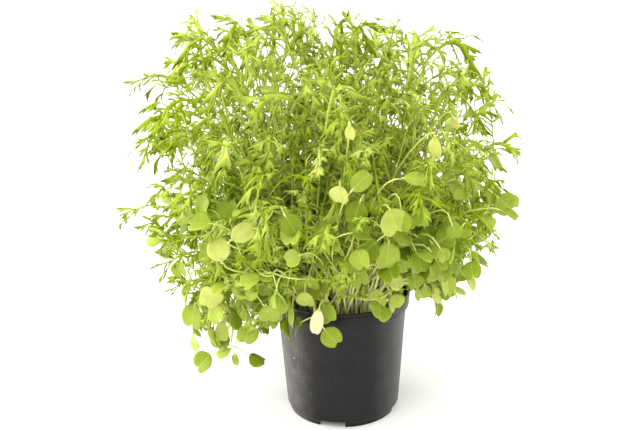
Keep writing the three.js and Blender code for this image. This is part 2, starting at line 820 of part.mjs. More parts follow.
const plant = new THREE.Group();
plant.name = "potted_mustard_greens";
plant.add(meshOf("pot", geometryOf(makePot()), plastic));
plant.add(meshOf("soil", geometryOf(makeSoil(seedlings.map((s) => s.root))), earth));
seedlings.forEach((seedling, i) => {
  const name = "seedling_" + String(i + 1).padStart(2, "0");
  plant.add(meshOf(name, seedlingGeometry(seedling.stem), leafMaterial(shades[i % shades.length])));
});

export default plant;
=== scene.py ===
import math

import bpy
import numpy as np
from mathutils import Matrix, Vector


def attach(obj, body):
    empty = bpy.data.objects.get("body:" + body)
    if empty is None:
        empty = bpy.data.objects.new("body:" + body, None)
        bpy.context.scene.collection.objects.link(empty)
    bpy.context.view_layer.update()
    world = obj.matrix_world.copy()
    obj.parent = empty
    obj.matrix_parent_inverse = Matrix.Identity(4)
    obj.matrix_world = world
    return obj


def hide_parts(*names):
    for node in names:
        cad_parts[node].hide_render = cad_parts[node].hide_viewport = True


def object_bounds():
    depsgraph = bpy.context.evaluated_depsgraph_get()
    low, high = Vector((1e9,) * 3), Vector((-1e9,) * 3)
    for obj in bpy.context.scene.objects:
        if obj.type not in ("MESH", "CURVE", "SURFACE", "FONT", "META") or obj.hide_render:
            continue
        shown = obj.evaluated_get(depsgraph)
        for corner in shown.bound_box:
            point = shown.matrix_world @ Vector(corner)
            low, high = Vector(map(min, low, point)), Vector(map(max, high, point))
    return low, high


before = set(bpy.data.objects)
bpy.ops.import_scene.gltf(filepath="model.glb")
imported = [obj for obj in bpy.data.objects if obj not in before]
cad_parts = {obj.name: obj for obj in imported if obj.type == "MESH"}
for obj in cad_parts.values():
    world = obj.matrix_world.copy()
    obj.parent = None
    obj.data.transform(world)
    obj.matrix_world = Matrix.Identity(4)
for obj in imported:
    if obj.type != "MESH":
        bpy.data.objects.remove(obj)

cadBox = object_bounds()

mm = 0.001
scene = bpy.context.scene
up = np.array([0.0, 0.0, 1.0])


# Colours are written as sRGB hex and turned to linear here.
def colour(code):
    parts = [int(code[i:i + 2], 16) / 255 for i in (0, 2, 4)]
    linear = [c / 12.92 if c <= 0.04045 else ((c + 0.055) / 1.055) ** 2.4 for c in parts]
    return (*linear, 1.0)


# Adds one node. Settings are its own options, values and links are its inputs, by name or number.
def addNode(tree, kind, settings=None, values=None, links=None, stops=None):
    made = tree.nodes.new("ShaderNode" + kind)
    for name, value in (settings or {}).items():
        setattr(made, name, value)
    for name, value in (values or {}).items():
        made.inputs[name].default_value = value
    for name, source in (links or {}).items():
        tree.links.new(source, made.inputs[name])
    for i, (place, shade) in enumerate(stops or []):
        ramp = made.color_ramp.elements
        stop = ramp[i] if i < len(ramp) else ramp.new(place)
        stop.position = place
        stop.color = shade
    return made


def newMaterial(name):
    material = bpy.data.materials.new(name)
    material.use_nodes = True
    tree = material.node_tree
    tree.nodes.clear()
    shader = addNode(tree, "BsdfPrincipled")
    output = addNode(tree, "OutputMaterial", links={"Surface": shader.outputs["BSDF"]})
    output.location = (300, 0)
    return material, tree, shader


def activeAlone(item):
    bpy.ops.object.select_all(action="DESELECT")
    item.select_set(True)
    bpy.context.view_layer.objects.active = item


def applyModifiers(item):
    activeAlone(item)
    for modifier in list(item.modifiers):
        bpy.ops.object.modifier_apply(modifier=modifier.name)


# Materials. Node settings and noise spans that several of them share.
smooth = {"interpolation_type": "SMOOTHSTEP"}
inColour = {"data_type": "RGBA"}
noiseSpan = {"From Min": 0.3, "From Max": 0.7}   # what a noise texture's values mostly lie between

leafLook = {
    "stalkPale": "e4ea84",
    "bladeDeep": "92a80c",
    "bladeBright": "d2df6c",
    "tipDark": "6a8208",
    "patchSize": 9.0,      # mm, how far apart the lighter and darker patches are
    "crinkleSize": 1.1,    # mm
    "crinkleHeight": 0.12, # mm
    "stalkTurns": (0.1, 0.5),      # where along the leaf the pale stalk gives way to green
    "tipTurns": (0.8, 0.98),       # and the green to the dark tip
    "tipShare": 0.8,
}


# Mustard leaf: thin living leaf, hairless. A satin skin over soft flesh that light shines through.
def makeLeafMaterial():
    look = leafLook
    material, tree, shader = newMaterial("living mustard leaf")
    tone = addNode(tree, "Attribute", {"attribute_name": "tone"}).outputs["Fac"]
    uv = addNode(tree, "UVMap", {"uv_map": "leafMap"}).outputs["UV"]
    along = addNode(tree, "SeparateXYZ", links={0: uv}).outputs["Y"]
    place = addNode(tree, "TexCoord").outputs["Object"]
    blade = addNode(tree, "Mix", inColour, {6: colour(look["bladeDeep"]), 7: colour(look["bladeBright"])},
                    {0: tone}).outputs[2]
    start, stop = look["stalkTurns"]
    low = addNode(tree, "MapRange", smooth, {"From Min": start, "From Max": stop},
                  {"Value": along}).outputs[0]
    grown = addNode(tree, "Mix", inColour, {6: colour(look["stalkPale"])}, {0: low, 7: blade}).outputs[2]
    start, stop = look["tipTurns"]
    end = addNode(tree, "MapRange", smooth, {"From Min": start, "From Max": stop, "To Max": look["tipShare"]},
                  {"Value": along}).outputs[0]
    tipped = addNode(tree, "Mix", inColour, {7: colour(look["tipDark"])}, {0: end, 6: grown}).outputs[2]
    patch = addNode(tree, "TexNoise", values={"Scale": 1000 / look["patchSize"], "Detail": 3.0},
                    links={"Vector": place})
    value = addNode(tree, "MapRange", values={**noiseSpan, "To Min": 0.86, "To Max": 1.12},
                    links={"Value": patch.outputs["Fac"]}).outputs[0]
    shaded = addNode(tree, "HueSaturation", links={"Value": value, "Color": tipped}).outputs[0]
    crinkle = addNode(tree, "TexNoise", values={"Scale": 1000 / look["crinkleSize"], "Detail": 2.0},
                      links={"Vector": place})
    bump = addNode(tree, "Bump", values={"Strength": 0.5, "Distance": look["crinkleHeight"] * mm},
                   links={"Height": crinkle.outputs["Fac"]})
    gloss = addNode(tree, "MapRange", values={**noiseSpan, "To Min": 0.38, "To Max": 0.55},
                    links={"Value": patch.outputs["Fac"]}).outputs[0]
    tree.links.new(shaded, shader.inputs["Base Color"])
    tree.links.new(gloss, shader.inputs["Roughness"])
    tree.links.new(bump.outputs[0], shader.inputs["Normal"])
    shader.inputs["IOR"].default_value = 1.42
    shader.inputs["Specular IOR Level"].default_value = 0.16
    shader.inputs["Subsurface Weight"].default_value = 0.4
    shader.inputs["Subsurface Radius"].default_value = (0.9, 1.0, 0.25)
    shader.inputs["Subsurface Scale"].default_value = 0.0015
    return material


seedLeafLook = {
    "deep": "6f8204",
    "fresh": "a9ba4a",
    "yellowed": "ced07a",
    "cream": "eeecb4",
    "vein": "d4de94",
    "veinCount": 5.0,
    "veinStrength": 0.18,
    "veinSunk": 0.6,       # how deep the veins lie, in crinkle heights
    "patchSize": 5.0,     # mm
    "crinkleSize": 1.6,   # mm
    "crinkleHeight": 0.15, # mm
}


# Seed leaf: thicker and smoother than the later leaves, with a pale midrib and faint side veins.
def makeSeedLeafMaterial():
    look = seedLeafLook
    material, tree, shader = newMaterial("living seed leaf")
    tone = addNode(tree, "Attribute", {"attribute_name": "tone"}).outputs["Fac"]
    uv = addNode(tree, "UVMap", {"uv_map": "leafMap"}).outputs["UV"]
    split = addNode(tree, "SeparateXYZ", links={0: uv})
    place = addNode(tree, "TexCoord").outputs["Object"]
    ages = addNode(tree, "ValToRGB", links={"Fac": tone}, stops=[
        (0.0, colour(look["deep"])), (0.55, colour(look["fresh"])), (0.84, colour(look["yellowed"])),
        (1.0, colour(look["cream"]))]).outputs["Color"]
    across = addNode(tree, "Math", {"operation": "SUBTRACT"}, {1: 0.5}, {0: split.outputs["X"]}).outputs[0]
    aside = addNode(tree, "Math", {"operation": "ABSOLUTE"}, links={0: across}).outputs[0]
    midrib = addNode(tree, "MapRange", smooth,
                     {"From Min": 0.012, "From Max": 0.045, "To Min": 1.0, "To Max": 0.0},
                     {"Value": aside}).outputs[0]
    climb = addNode(tree, "Math", {"operation": "MULTIPLY"}, {1: 0.9}, {0: aside}).outputs[0]
    slant = addNode(tree, "Math", {"operation": "SUBTRACT"},
                    links={0: split.outputs["Y"], 1: climb}).outputs[0]
    rows = addNode(tree, "Math", {"operation": "PINGPONG"}, {1: 0.5 / look["veinCount"]},
                   {0: slant}).outputs[0]
    sideVein = addNode(tree, "MapRange", smooth,
                       {"From Min": 0.004, "From Max": 0.018, "To Min": 0.5, "To Max": 0.0},
                       {"Value": rows}).outputs[0]
    veins = addNode(tree, "Math", {"operation": "MAXIMUM"}, links={0: midrib, 1: sideVein}).outputs[0]
    patch = addNode(tree, "TexNoise", values={"Scale": 1000 / look["patchSize"], "Detail": 3.0},
                    links={"Vector": place})
    value = addNode(tree, "MapRange", values={**noiseSpan, "To Min": 0.9, "To Max": 1.08},
                    links={"Value": patch.outputs["Fac"]}).outputs[0]
    shaded = addNode(tree, "HueSaturation", links={"Value": value, "Color": ages}).outputs[0]
    faint = addNode(tree, "Math", {"operation": "MULTIPLY"}, {1: look["veinStrength"]},
                    {0: veins}).outputs[0]
    veined = addNode(tree, "Mix", inColour, {7: colour(look["vein"])}, {0: faint, 6: shaded}).outputs[2]
    crinkle = addNode(tree, "TexNoise", values={"Scale": 1000 / look["crinkleSize"], "Detail": 2.0},
                      links={"Vector": place})
    height = addNode(tree, "Math", {"operation": "MULTIPLY_ADD"}, {1: -look["veinSunk"]},
                     {0: veins, 2: crinkle.outputs["Fac"]})
    bump = addNode(tree, "Bump", values={"Strength": 0.5, "Distance": look["crinkleHeight"] * mm},
                   links={"Height": height.outputs[0]})
    tree.links.new(veined, shader.inputs["Base Color"])
    tree.links.new(bump.outputs[0], shader.inputs["Normal"])
    shader.inputs["Roughness"].default_value = 0.42
    shader.inputs["IOR"].default_value = 1.42
    shader.inputs["Specular IOR Level"].default_value = 0.16
    shader.inputs["Subsurface Weight"].default_value = 0.45
    shader.inputs["Subsurface Radius"].default_value = (0.9, 1.0, 0.3)
    shader.inputs["Subsurface Scale"].default_value = 0.0018
    return material


stemLook = {
    "root": "eef0c0",
    "pale": "e2e886",
    "green": "bccb46",
    "streakSize": 0.7,    # mm across
    "streakHeight": 0.1,  # mm
}


# Seedling stem: watery and pale, nearly white where it leaves the soil, with fine streaks along it.
def makeStemMaterial():
    look = stemLook
    material, tree, shader = newMaterial("watery seedling stem")
    tone = addNode(tree, "Attribute", {"attribute_name": "tone"}).outputs["Fac"]
    uv = addNode(tree, "UVMap", {"uv_map": "leafMap"}).outputs["UV"]
    along = addNode(tree, "SeparateXYZ", links={0: uv}).outputs["Y"]
    place = addNode(tree, "TexCoord").outputs["Object"]
    upper = addNode(tree, "Mix", inColour, {6: colour(look["pale"]), 7: colour(look["green"])},
                    {0: tone}).outputs[2]
    low = addNode(tree, "MapRange", smooth, {"From Min": 0.05, "From Max": 0.55},
                  {"Value": along}).outputs[0]
    grown = addNode(tree, "Mix", inColour, {6: colour(look["root"])}, {0: low, 7: upper}).outputs[2]
    stretch = addNode(tree, "Mapping", values={"Scale": (1.0, 1.0, 0.12)},
                      links={"Vector": place}).outputs[0]
    streak = addNode(tree, "TexNoise", values={"Scale": 1000 / look["streakSize"], "Detail": 2.0},
                     links={"Vector": stretch})
    value = addNode(tree, "MapRange", values={**noiseSpan, "To Min": 0.9, "To Max": 1.08},
                    links={"Value": streak.outputs["Fac"]}).outputs[0]
    shaded = addNode(tree, "HueSaturation", links={"Value": value, "Color": grown}).outputs[0]
    bump = addNode(tree, "Bump", values={"Strength": 0.3, "Distance": look["streakHeight"] * mm},
                   links={"Height": streak.outputs["Fac"]})
    tree.links.new(shaded, shader.inputs["Base Color"])
    tree.links.new(bump.outputs[0], shader.inputs["Normal"])
    shader.inputs["Roughness"].default_value = 0.4
    shader.inputs["IOR"].default_value = 1.4
    shader.inputs["Subsurface Weight"].default_value = 0.4
    shader.inputs["Subsurface Radius"].default_value = (0.9, 1.0, 0.5)
    shader.inputs["Subsurface Scale"].default_value = 0.0015
    return material


potLook = {
    "plastic": "0c080a",
    # pale dust colour, which also paints the sheen on the flanks
    "dustAndSheen": "a8a39f",
    "speck": "e8e6e0",
    "grainSize": 0.6,     # mm, the fine satin of the mould
    "streakWidth": 2.2,   # mm across the upright scuffs
    "streakLength": 40.0, # mm
    "dustPatch": 13.0,    # mm
    "speckApart": 12.0,   # mm
    "speckRarity": 0.6,   # the share of places that stay without a speck
    "speckSize": 0.05,    # of the distance between two
    "scuffShare": 0.5,
    "filmShare": 0.46,
    "dustShare": 0.6,
    "dustAndSheenFlanks": (0.02, 0.05),         # m from the middle, where the darker middle gives way to the dust and painted sheen of the flanks
    "middleDustAndSheen": 0.06,
    "leftToRight": (-0.045, 0.03), # m, and how much dust and painted sheen each side has
    "leftDustAndSheen": 1.9,
    "rightDustAndSheen": 0.6,
    "reliefHeight": 0.08,          # mm
}


# Recycled black polypropylene, injection moulded: satin, faintly grained, dulled by dust and upright scuffs,
# with a painted sheen on both flanks, most on the left, laid on in the dust colour.
def makePotMaterial():
    look = potLook
    material, tree, shader = newMaterial("moulded recycled polypropylene")
    place = addNode(tree, "TexCoord").outputs["Object"]
    squeeze = look["streakWidth"] / look["streakLength"]
    upright = addNode(tree, "Mapping", values={"Scale": (1.0, 1.0, squeeze)},
                      links={"Vector": place}).outputs[0]
    streak = addNode(tree, "TexNoise",
                     values={"Scale": 1000 / look["streakWidth"], "Detail": 4.0, "Roughness": 0.6},
                     links={"Vector": upright}).outputs["Fac"]
    cloud = addNode(tree, "TexNoise",
                    values={"Scale": 1000 / look["dustPatch"], "Detail": 5.0, "Roughness": 0.62},
                    links={"Vector": place}).outputs["Fac"]
    scuff = addNode(tree, "MapRange", smooth,
                    {"From Min": 0.5, "From Max": 0.84, "To Max": look["scuffShare"]},
                    {"Value": streak}).outputs[0]
    dustAndSheenFilm = addNode(tree, "MapRange", smooth,
                   {"From Min": 0.28, "From Max": 0.78, "To Min": 0.4}, {"Value": cloud}).outputs[0]
    # dust and a painted sheen on the two flanks, most on the left, and little of either in the darker middle
    # between them
    across = addNode(tree, "SeparateXYZ", links={0: place}).outputs["X"]
    aside = addNode(tree, "Math", {"operation": "ABSOLUTE"}, links={0: across}).outputs[0]
    near, far = look["dustAndSheenFlanks"]
    flankDustAndSheenMask = addNode(tree, "MapRange", smooth,
                      {"From Min": near, "From Max": far, "To Min": look["middleDustAndSheen"]},
                      {"Value": aside}).outputs[0]
    left, right = look["leftToRight"]
    leftHeavyDustAndSheenMask = addNode(tree, "MapRange", values={
        "From Min": left, "From Max": right, "To Min": look["leftDustAndSheen"], "To Max": look["rightDustAndSheen"]},
        links={"Value": across}).outputs[0]
    sideDustAndSheenMask = addNode(tree, "Math", {"operation": "MULTIPLY"}, links={0: flankDustAndSheenMask, 1: leftHeavyDustAndSheenMask}).outputs[0]
    dustAndSheenFilm = addNode(tree, "Math", {"operation": "MULTIPLY"}, links={0: dustAndSheenFilm, 1: sideDustAndSheenMask}).outputs[0]
    both = addNode(tree, "Math", {"operation": "MULTIPLY"}, links={0: scuff, 1: dustAndSheenFilm}).outputs[0]
    dustAndSheenAmount = addNode(tree, "Math", {"operation": "MULTIPLY_ADD"}, {1: look["filmShare"]},
                    {0: dustAndSheenFilm, 2: both}).outputs[0]
    grain = addNode(tree, "TexNoise", values={"Scale": 1000 / look["grainSize"], "Detail": 2.0},
                    links={"Vector": place}).outputs["Fac"]
    fleck = addNode(tree, "MapRange", smooth, {"From Min": 0.6, "From Max": 0.7},
                    {"Value": grain}).outputs[0]
    flecked = addNode(tree, "Math", {"operation": "MULTIPLY"}, links={0: fleck, 1: dustAndSheenFilm}).outputs[0]
    dustAndSheenAmount = addNode(tree, "Math", {"operation": "ADD"}, links={0: flecked, 1: dustAndSheenAmount}).outputs[0]
    faint = addNode(tree, "Math", {"operation": "MULTIPLY", "use_clamp": True}, {1: look["dustShare"]},
                    {0: dustAndSheenAmount}).outputs[0]
    # the dust colour mixed in here is partly real dust and partly a painted sheen on the flanks
    plasticWithDustAndSheen = addNode(tree, "Mix", inColour, {6: colour(look["plastic"]), 7: colour(look["dustAndSheen"])},
                     {0: faint}).outputs[2]
    dots = addNode(tree, "TexVoronoi", values={"Scale": 1000 / look["speckApart"], "Randomness": 1.0},
                   links={"Vector": place})
    pick = addNode(tree, "SeparateColor", links={0: dots.outputs["Color"]}).outputs[0]
    rare = addNode(tree, "Math", {"operation": "GREATER_THAN"}, {1: look["speckRarity"]},
                   {0: pick}).outputs[0]
    small = addNode(tree, "Math", {"operation": "LESS_THAN"}, {1: look["speckSize"]},
                    {0: dots.outputs["Distance"]}).outputs[0]
    speck = addNode(tree, "Math", {"operation": "MULTIPLY"}, links={0: rare, 1: small}).outputs[0]
    finished = addNode(tree, "Mix", inColour, {7: colour(look["speck"])}, {0: speck, 6: plasticWithDustAndSheen}).outputs[2]
    gloss = addNode(tree, "MapRange", values={"To Min": 0.36, "To Max": 0.62},
                    links={"Value": dustAndSheenAmount}).outputs[0]
    height = addNode(tree, "Math", {"operation": "MULTIPLY_ADD"}, {1: 0.6}, {0: streak, 2: grain}).outputs[0]
    bump = addNode(tree, "Bump", values={"Strength": 0.35, "Distance": look["reliefHeight"] * mm},
                   links={"Height": height})
    tree.links.new(finished, shader.inputs["Base Color"])
    tree.links.new(gloss, shader.inputs["Roughness"])
    tree.links.new(bump.outputs[0], shader.inputs["Normal"])
    shader.inputs["IOR"].default_value = 1.5
    shader.inputs["Specular IOR Level"].default_value = 0.2
    return material


soilLook = {
    "dark": "1f1712",
    "brown": "46362a",
    "fibre": "6b5640",
    "grain": 1.8,   # mm
    "clod": 7.0,    # mm
    "relief": 0.8,  # mm
}


# Peat potting soil: packed damp fibres, dark and quite dull, crumbly at the top.
def makeSoilMaterial():
    look = soilLook
    material, tree, shader = newMaterial("damp peat potting soil")
    place = addNode(tree, "TexCoord").outputs["Object"]
    fine = addNode(tree, "TexNoise", values={"Scale": 1000 / look["grain"], "Detail": 6.0, "Roughness": 0.7},
                   links={"Vector": place}).outputs["Fac"]
    clods = addNode(tree, "TexNoise", values={"Scale": 1000 / look["clod"], "Detail": 4.0},
                    links={"Vector": place}).outputs["Fac"]
    mixed = addNode(tree, "ValToRGB", links={"Fac": fine}, stops=[
        (0.3, colour(look["dark"])), (0.62, colour(look["brown"])),
        (0.8, colour(look["fibre"]))]).outputs["Color"]
    value = addNode(tree, "MapRange", values={**noiseSpan, "To Min": 0.7, "To Max": 1.2},
                    links={"Value": clods}).outputs[0]
    shaded = addNode(tree, "HueSaturation", links={"Value": value, "Color": mixed}).outputs[0]
    height = addNode(tree, "Math", {"operation": "ADD"}, links={0: fine, 1: clods}).outputs[0]
    bump = addNode(tree, "Bump", values={"Strength": 0.9, "Distance": look["relief"] * mm},
                   links={"Height": height})
    tree.links.new(shaded, shader.inputs["Base Color"])
    tree.links.new(bump.outputs[0], shader.inputs["Normal"])
    shader.inputs["Roughness"].default_value = 0.95
    return material


leafMaterial = makeLeafMaterial()
seedLeafMaterial = makeSeedLeafMaterial()
stemMaterial = makeStemMaterial()
potMaterial = makePotMaterial()
soilMaterial = makeSoilMaterial()
print("materials ready")


# The pot, in millimetres
pot = {
    "height": 103.0,
    "mouthRadius": 54.6,
    "bandHeight": 13.0,
    "wallTopRadius": 51.2,
    "wallFootRadius": 45.2,
    "wallThickness": 1.2,
    "footRadius": 43.2,
    "footStep": 5.6,
    "floorHeight": 3.0,
    "floorThickness": 1.4,
    "notchWidth": 21.0,
    "notchHeight": 5.0,
    "notchTurn": -103.0,
    "notchCircle": 42.0,
    "notchDeep": 12.0,      # through the foot ring
    "cutPast": 5.0,         # how far below the pot the notches' cutters reach
    "drainHoles": 8,
    "drainRadius": 3.2,
    "drainCircle": 31.0,
    "drainCut": 5.0,
    "steps": 120,
    "softEdge": 0.22,
}


def buildPot():
    p = pot
    bandFoot = p["height"] - p["bandHeight"]
    mouth = p["mouthRadius"]
    wall = p["wallThickness"]
    top = p["height"]
    foot = p["footRadius"]
    floorTop = p["floorHeight"] + p["floorThickness"]
    profile = [
        (0, 0), (12, 0), (12.6, 0.3), (13.6, p["floorHeight"] - 0.3), (14.2, p["floorHeight"]),
        (38.2, p["floorHeight"]), (38.6, p["floorHeight"] - 0.3), (39.2, 0.3), (39.7, 0),
        (foot - 0.5, 0), (foot, 0.4), (foot + 0.8, p["footStep"] - 1.2), (foot + 1.1, p["footStep"] - 0.7),
        (p["wallFootRadius"] - 0.2, p["footStep"] - 0.2), (p["wallFootRadius"], p["footStep"] + 0.2),
        (p["wallTopRadius"], bandFoot - 1.8), (p["wallTopRadius"] + 0.3, bandFoot - 1.2),
        (mouth - 1.5, bandFoot - 0.3), (mouth - 1.0, bandFoot + 0.1), (mouth - 0.85, bandFoot + 0.6),
        # the band, with the fine line just under the lip
        (mouth - 0.3, top - 3.4), (mouth - 0.62, top - 3.1), (mouth - 0.6, top - 2.7),
        (mouth - 0.15, top - 2.4), (mouth, top - 1.2), (mouth, top - 0.6), (mouth - 0.35, top),
        (mouth - wall + 0.2, top), (mouth - wall, top - 0.6), (mouth - 2.1, bandFoot + 1.0),
        (mouth - 2.4, bandFoot + 0.6), (p["wallTopRadius"] - wall + 0.2, bandFoot - 0.9),
        (p["wallTopRadius"] - wall, bandFoot - 1.6), (p["wallFootRadius"] - wall, p["footStep"] + 0.9),
        (foot - 0.7, floorTop), (13.5, floorTop), (12.5, p["floorThickness"]), (0, p["floorThickness"]),
    ]
    bpy.ops.object.select_all(action="DESELECT")
    bpy.ops.mesh.primitive_plane_add(size=0.001, location=(0, 0, 0))
    item = bpy.context.object
    item.name = "nursery_pot"
    bpy.ops.object.mode_set(mode="EDIT")
    bpy.ops.mesh.select_all(action="SELECT")
    bpy.ops.mesh.merge(type="CENTER")
    before = profile[0]
    for point in profile[1:]:  # the wall's outline, drawn one point at a time
        step = ((point[0] - before[0]) * mm, 0, (point[1] - before[1]) * mm)
        bpy.ops.mesh.extrude_vertices_move(TRANSFORM_OT_translate={"value": step})
        before = point
    bpy.ops.mesh.select_all(action="SELECT")
    bpy.ops.mesh.spin(steps=p["steps"], angle=2 * math.pi, center=(0, 0, 0), axis=(0, 0, 1))
    bpy.ops.mesh.select_all(action="SELECT")
    bpy.ops.mesh.remove_doubles(threshold=0.00002)
    bpy.ops.mesh.normals_make_consistent(inside=False)
    bpy.ops.object.mode_set(mode="OBJECT")

    cutters = []
    for i in range(4):
        turn = math.radians(p["notchTurn"] + 90 * i)
        out = p["notchCircle"] * mm
        at = (out * math.cos(turn), out * math.sin(turn), (p["notchHeight"] - p["cutPast"]) * mm / 2)
        bpy.ops.mesh.primitive_cube_add(size=1, location=at, rotation=(0, 0, turn))
        tall = p["notchHeight"] + p["cutPast"]
        bpy.context.object.scale = (p["notchDeep"] * mm, p["notchWidth"] * mm, tall * mm)
        cutters.append(bpy.context.object)
    for i in range(p["drainHoles"]):
        turn = 2 * math.pi * (i + 0.5) / p["drainHoles"]
        out = p["drainCircle"] * mm
        at = (out * math.cos(turn), out * math.sin(turn), (p["floorHeight"] + 0.5) * mm)
        bpy.ops.mesh.primitive_cylinder_add(vertices=20, radius=p["drainRadius"] * mm,
                                            depth=p["drainCut"] * mm, location=at)
        cutters.append(bpy.context.object)
    for cutter in cutters:
        modifier = item.modifiers.new("cut", "BOOLEAN")
        modifier.operation = "DIFFERENCE"
        modifier.solver = "EXACT"
        modifier.object = cutter
    applyModifiers(item)
    for cutter in cutters:
        bpy.data.objects.remove(cutter)
    bevel = item.modifiers.new("soft edges", "BEVEL")
    bevel.width = p["softEdge"] * mm
    bevel.segments = 2
    bevel.limit_method = "ANGLE"
    bevel.angle_limit = math.radians(50)
    applyModifiers(item)
    bpy.ops.object.shade_smooth_by_angle(angle=math.radians(32))
    item.data.materials.clear()
    item.data.materials.append(potMaterial)
    return item


potPiece = buildPot()
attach(potPiece, "root")
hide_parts("pot")
print("pot:", len(potPiece.data.polygons), "faces")


# The plants' rule of growth, in millimetres
plant = {
    "uprights": 44,
    "crownBias": 1.05,
    "leftLean": 0.28,
    "rootCircle": 40,
    "stemRadius": 1.05,
    "jointRadius": 1.5,
    "jointHeight": 2.6,
    "petioleHalf": 0.7,
    "petioleKeel": 1.15,
    "rachisHalf": 1.0,
    "strapHalf": 2.1,
    "frondSteps": [0.2, 0.36, 0.48, 0.6, 0.72, 0.84, 0.94],
    "lobe": ((12, 20), (18, 48), (-0.7, 0.5)),        # length, forward sweep in degrees, curl
    "endLobe": ((13, 19), (48, 62), (-0.35, 0.15)),
    "fullLeafLength": 95,
    "largestLeaf": 1.1,
    "leastFill": 0.6,
    "leafAttempts": 150,
    "shorterBy": 0.28,
    "smallerBy": 0.3,
    "lowJoint": 120,
    "seedLeafWidth": 17,
    "clearance": 0.5,
    "ownSpace": 1.7,
    "beadStep": 2,
    "layoutSeed": 4135,
    "soilTop": 88,
    "soilBump": 1.3,
    "holeDepth": 12,
    "stemFoot": 3.5,
    "wander": 1.4,
    "pastEnd": 8.0,               # how far the tip goes past the curve's end, for a leaf of size 1
    "tipHang": 1.5,
    "leaningRoots": (38, 44.5),   # how far from the middle the leaning ones stand
}

# How thick the beads are that follow each kind of organ.
beadRadius = {
    "stem": 1.2,
    "stalk": 1.0,
    "strap": 1.7,
    "tip": 1.3,
    "lobe": 1.25,
    "lobeRoot": 1.4,
    "seedStalk": 0.9,
    "seedLeaf": 1.7,
}

# How far the leaves reach from a point just above the soil, every 10 degrees from 30 below level to straight
# up, in four tables: to the right, left, front and back.
heart = np.array([0.0, 0.0, 105.0])
reachTables = [
    [40, 45, 55, 80, 104, 132, 156, 178, 196, 204, 206, 202, 200],
    [110, 118, 128, 144, 150, 158, 172, 192, 210, 216, 214, 206, 200],
    [30, 35, 40, 48, 66, 118, 142, 160, 176, 188, 196, 200, 200],
    [60, 70, 84, 104, 124, 140, 154, 166, 176, 184, 190, 196, 200],
]
lowestAngles = [4, -22, 17, -6]  # right, left, front, back

# Where the sprigs end that stand out of the outline, and where the lowest leaning stems fork.
sprigTips = [
    (-18, -20, 312), (-60, 10, 298), (-132, -10, 262), (-160, -30, 174), (-142, -20, 222),
    (-140, 5, 114), (94, 0, 268), (118, -10, 244), (130, 0, 212), (120, -30, 178),
    (60, 10, 288), (14, 10, 300), (-98, 20, 284),
]
leaningJoints = [
    (-116, -18, 92), (-96, -50, 122), (-88, -24, 66), (-68, -66, 134), (-50, -84, 152),
    (-22, -62, 106), (26, -62, 122), (36, -80, 180), (68, 8, 100), (76, -24, 134),
    (-78, -84, 184), (-128, -12, 146), (100, 10, 170),
]


def drawsFrom(seed):
    state = seed

    def draw():
        nonlocal state
        mask = 0xFFFFFFFF
        state = (state + 0x6D2B79F5) & mask
        t = state
        t = ((t ^ (t >> 15)) * (t | 1)) & mask
        t ^= (t + (((t ^ (t >> 7)) * (t | 61)) & mask)) & mask
        return ((t ^ (t >> 14)) & mask) / 4294967296

    return draw


draw = drawsFrom(plant["layoutSeed"])


def mix(a, b, t):
    return a + (b - a) * t


def point(x, y, z):
    return np.array([float(x), float(y), float(z)])


def lengthOf(v):
    return math.sqrt(v[0] * v[0] + v[1] * v[1] + v[2] * v[2])


def unit(v):
    return v / lengthOf(v)


def cross(a, b):
    return np.array([a[1] * b[2] - a[2] * b[1], a[2] * b[0] - a[0] * b[2], a[0] * b[1] - a[1] * b[0]])


def dot(a, b):
    return a[0] * b[0] + a[1] * b[1] + a[2] * b[2]


def bezier(c, t):
    s = 1 - t
    return c[0] * (s * s * s) + c[1] * (3 * s * s * t) + c[2] * (3 * s * t * t) + c[3] * (t * t * t)


def bezierTangent(c, t):
    return unit(bezier(c, min(1, t + 0.0001)) - bezier(c, max(0, t - 0.0001)))


def normalised(v):
    return v / np.maximum(np.linalg.norm(v, axis=-1, keepdims=True), 1e-9)


def curvePoints(controls, t):
    s = 1 - t
    low = s ** 3 * controls[0] + 3 * s * s * t * controls[1]
    return low + 3 * s * t * t * controls[2] + t ** 3 * controls[3]


# Tangent, side and face of a curve: level across it, then turned by roll round the tangent.
def frameAt(tangent, across, roll):
    side = unit(across - tangent * dot(across, tangent))
    face = cross(side, tangent)
    turned = side * math.cos(roll) + face * math.sin(roll)
    return tangent, turned, cross(turned, tangent)


def acrossOf(direction):
    flat = point(-direction[1], direction[0], 0)
    return point(1, 0, 0) if lengthOf(flat) < 1e-6 else unit(flat)


# Small beads that follow straight lines, each with its radius: they keep one organ clear of the next.
def beadsAlong(starts, ends, radii):
    starts, spans, radii = np.array(starts), np.array(ends) - np.array(starts), np.array(radii, float)
    steps = np.maximum(1, np.ceil(np.sqrt((spans ** 2).sum(1)) / plant["beadStep"])).astype(int)
    line = np.repeat(np.arange(len(steps)), steps)
    place = np.arange(len(line)) - np.repeat(np.cumsum(steps) - steps, steps)
    at = starts[line] + spans[line] * ((place + 0.5) / steps[line])[:, None]
    return np.column_stack([at, radii[line]])


# Tangents, sides and faces at several places on a curve, as frameAt gives them one by one.
def framesAt(controls, t, across, roll):
    after, before = np.minimum(1, t + 0.0001), np.maximum(0, t - 0.0001)
    tangent = normalised(curvePoints(controls, after) - curvePoints(controls, before))
    side = normalised(across - tangent * (tangent @ across)[:, None])
    face = np.cross(side, tangent)
    turned = side * np.cos(roll * t) + face * np.sin(roll * t)
    return tangent, turned, np.cross(turned, tangent)


frondSteps = np.array(plant["frondSteps"])
bladeShare = (frondSteps - frondSteps[1]) / (frondSteps[-1] - frondSteps[1])
strapHalves = np.where(bladeShare < 0, plant["petioleHalf"],
                       mix(plant["rachisHalf"], plant["strapHalf"], bladeShare))
lobeKinds = np.array([plant["lobe"]] * (len(frondSteps) - 3) + [plant["endLobe"]], float)


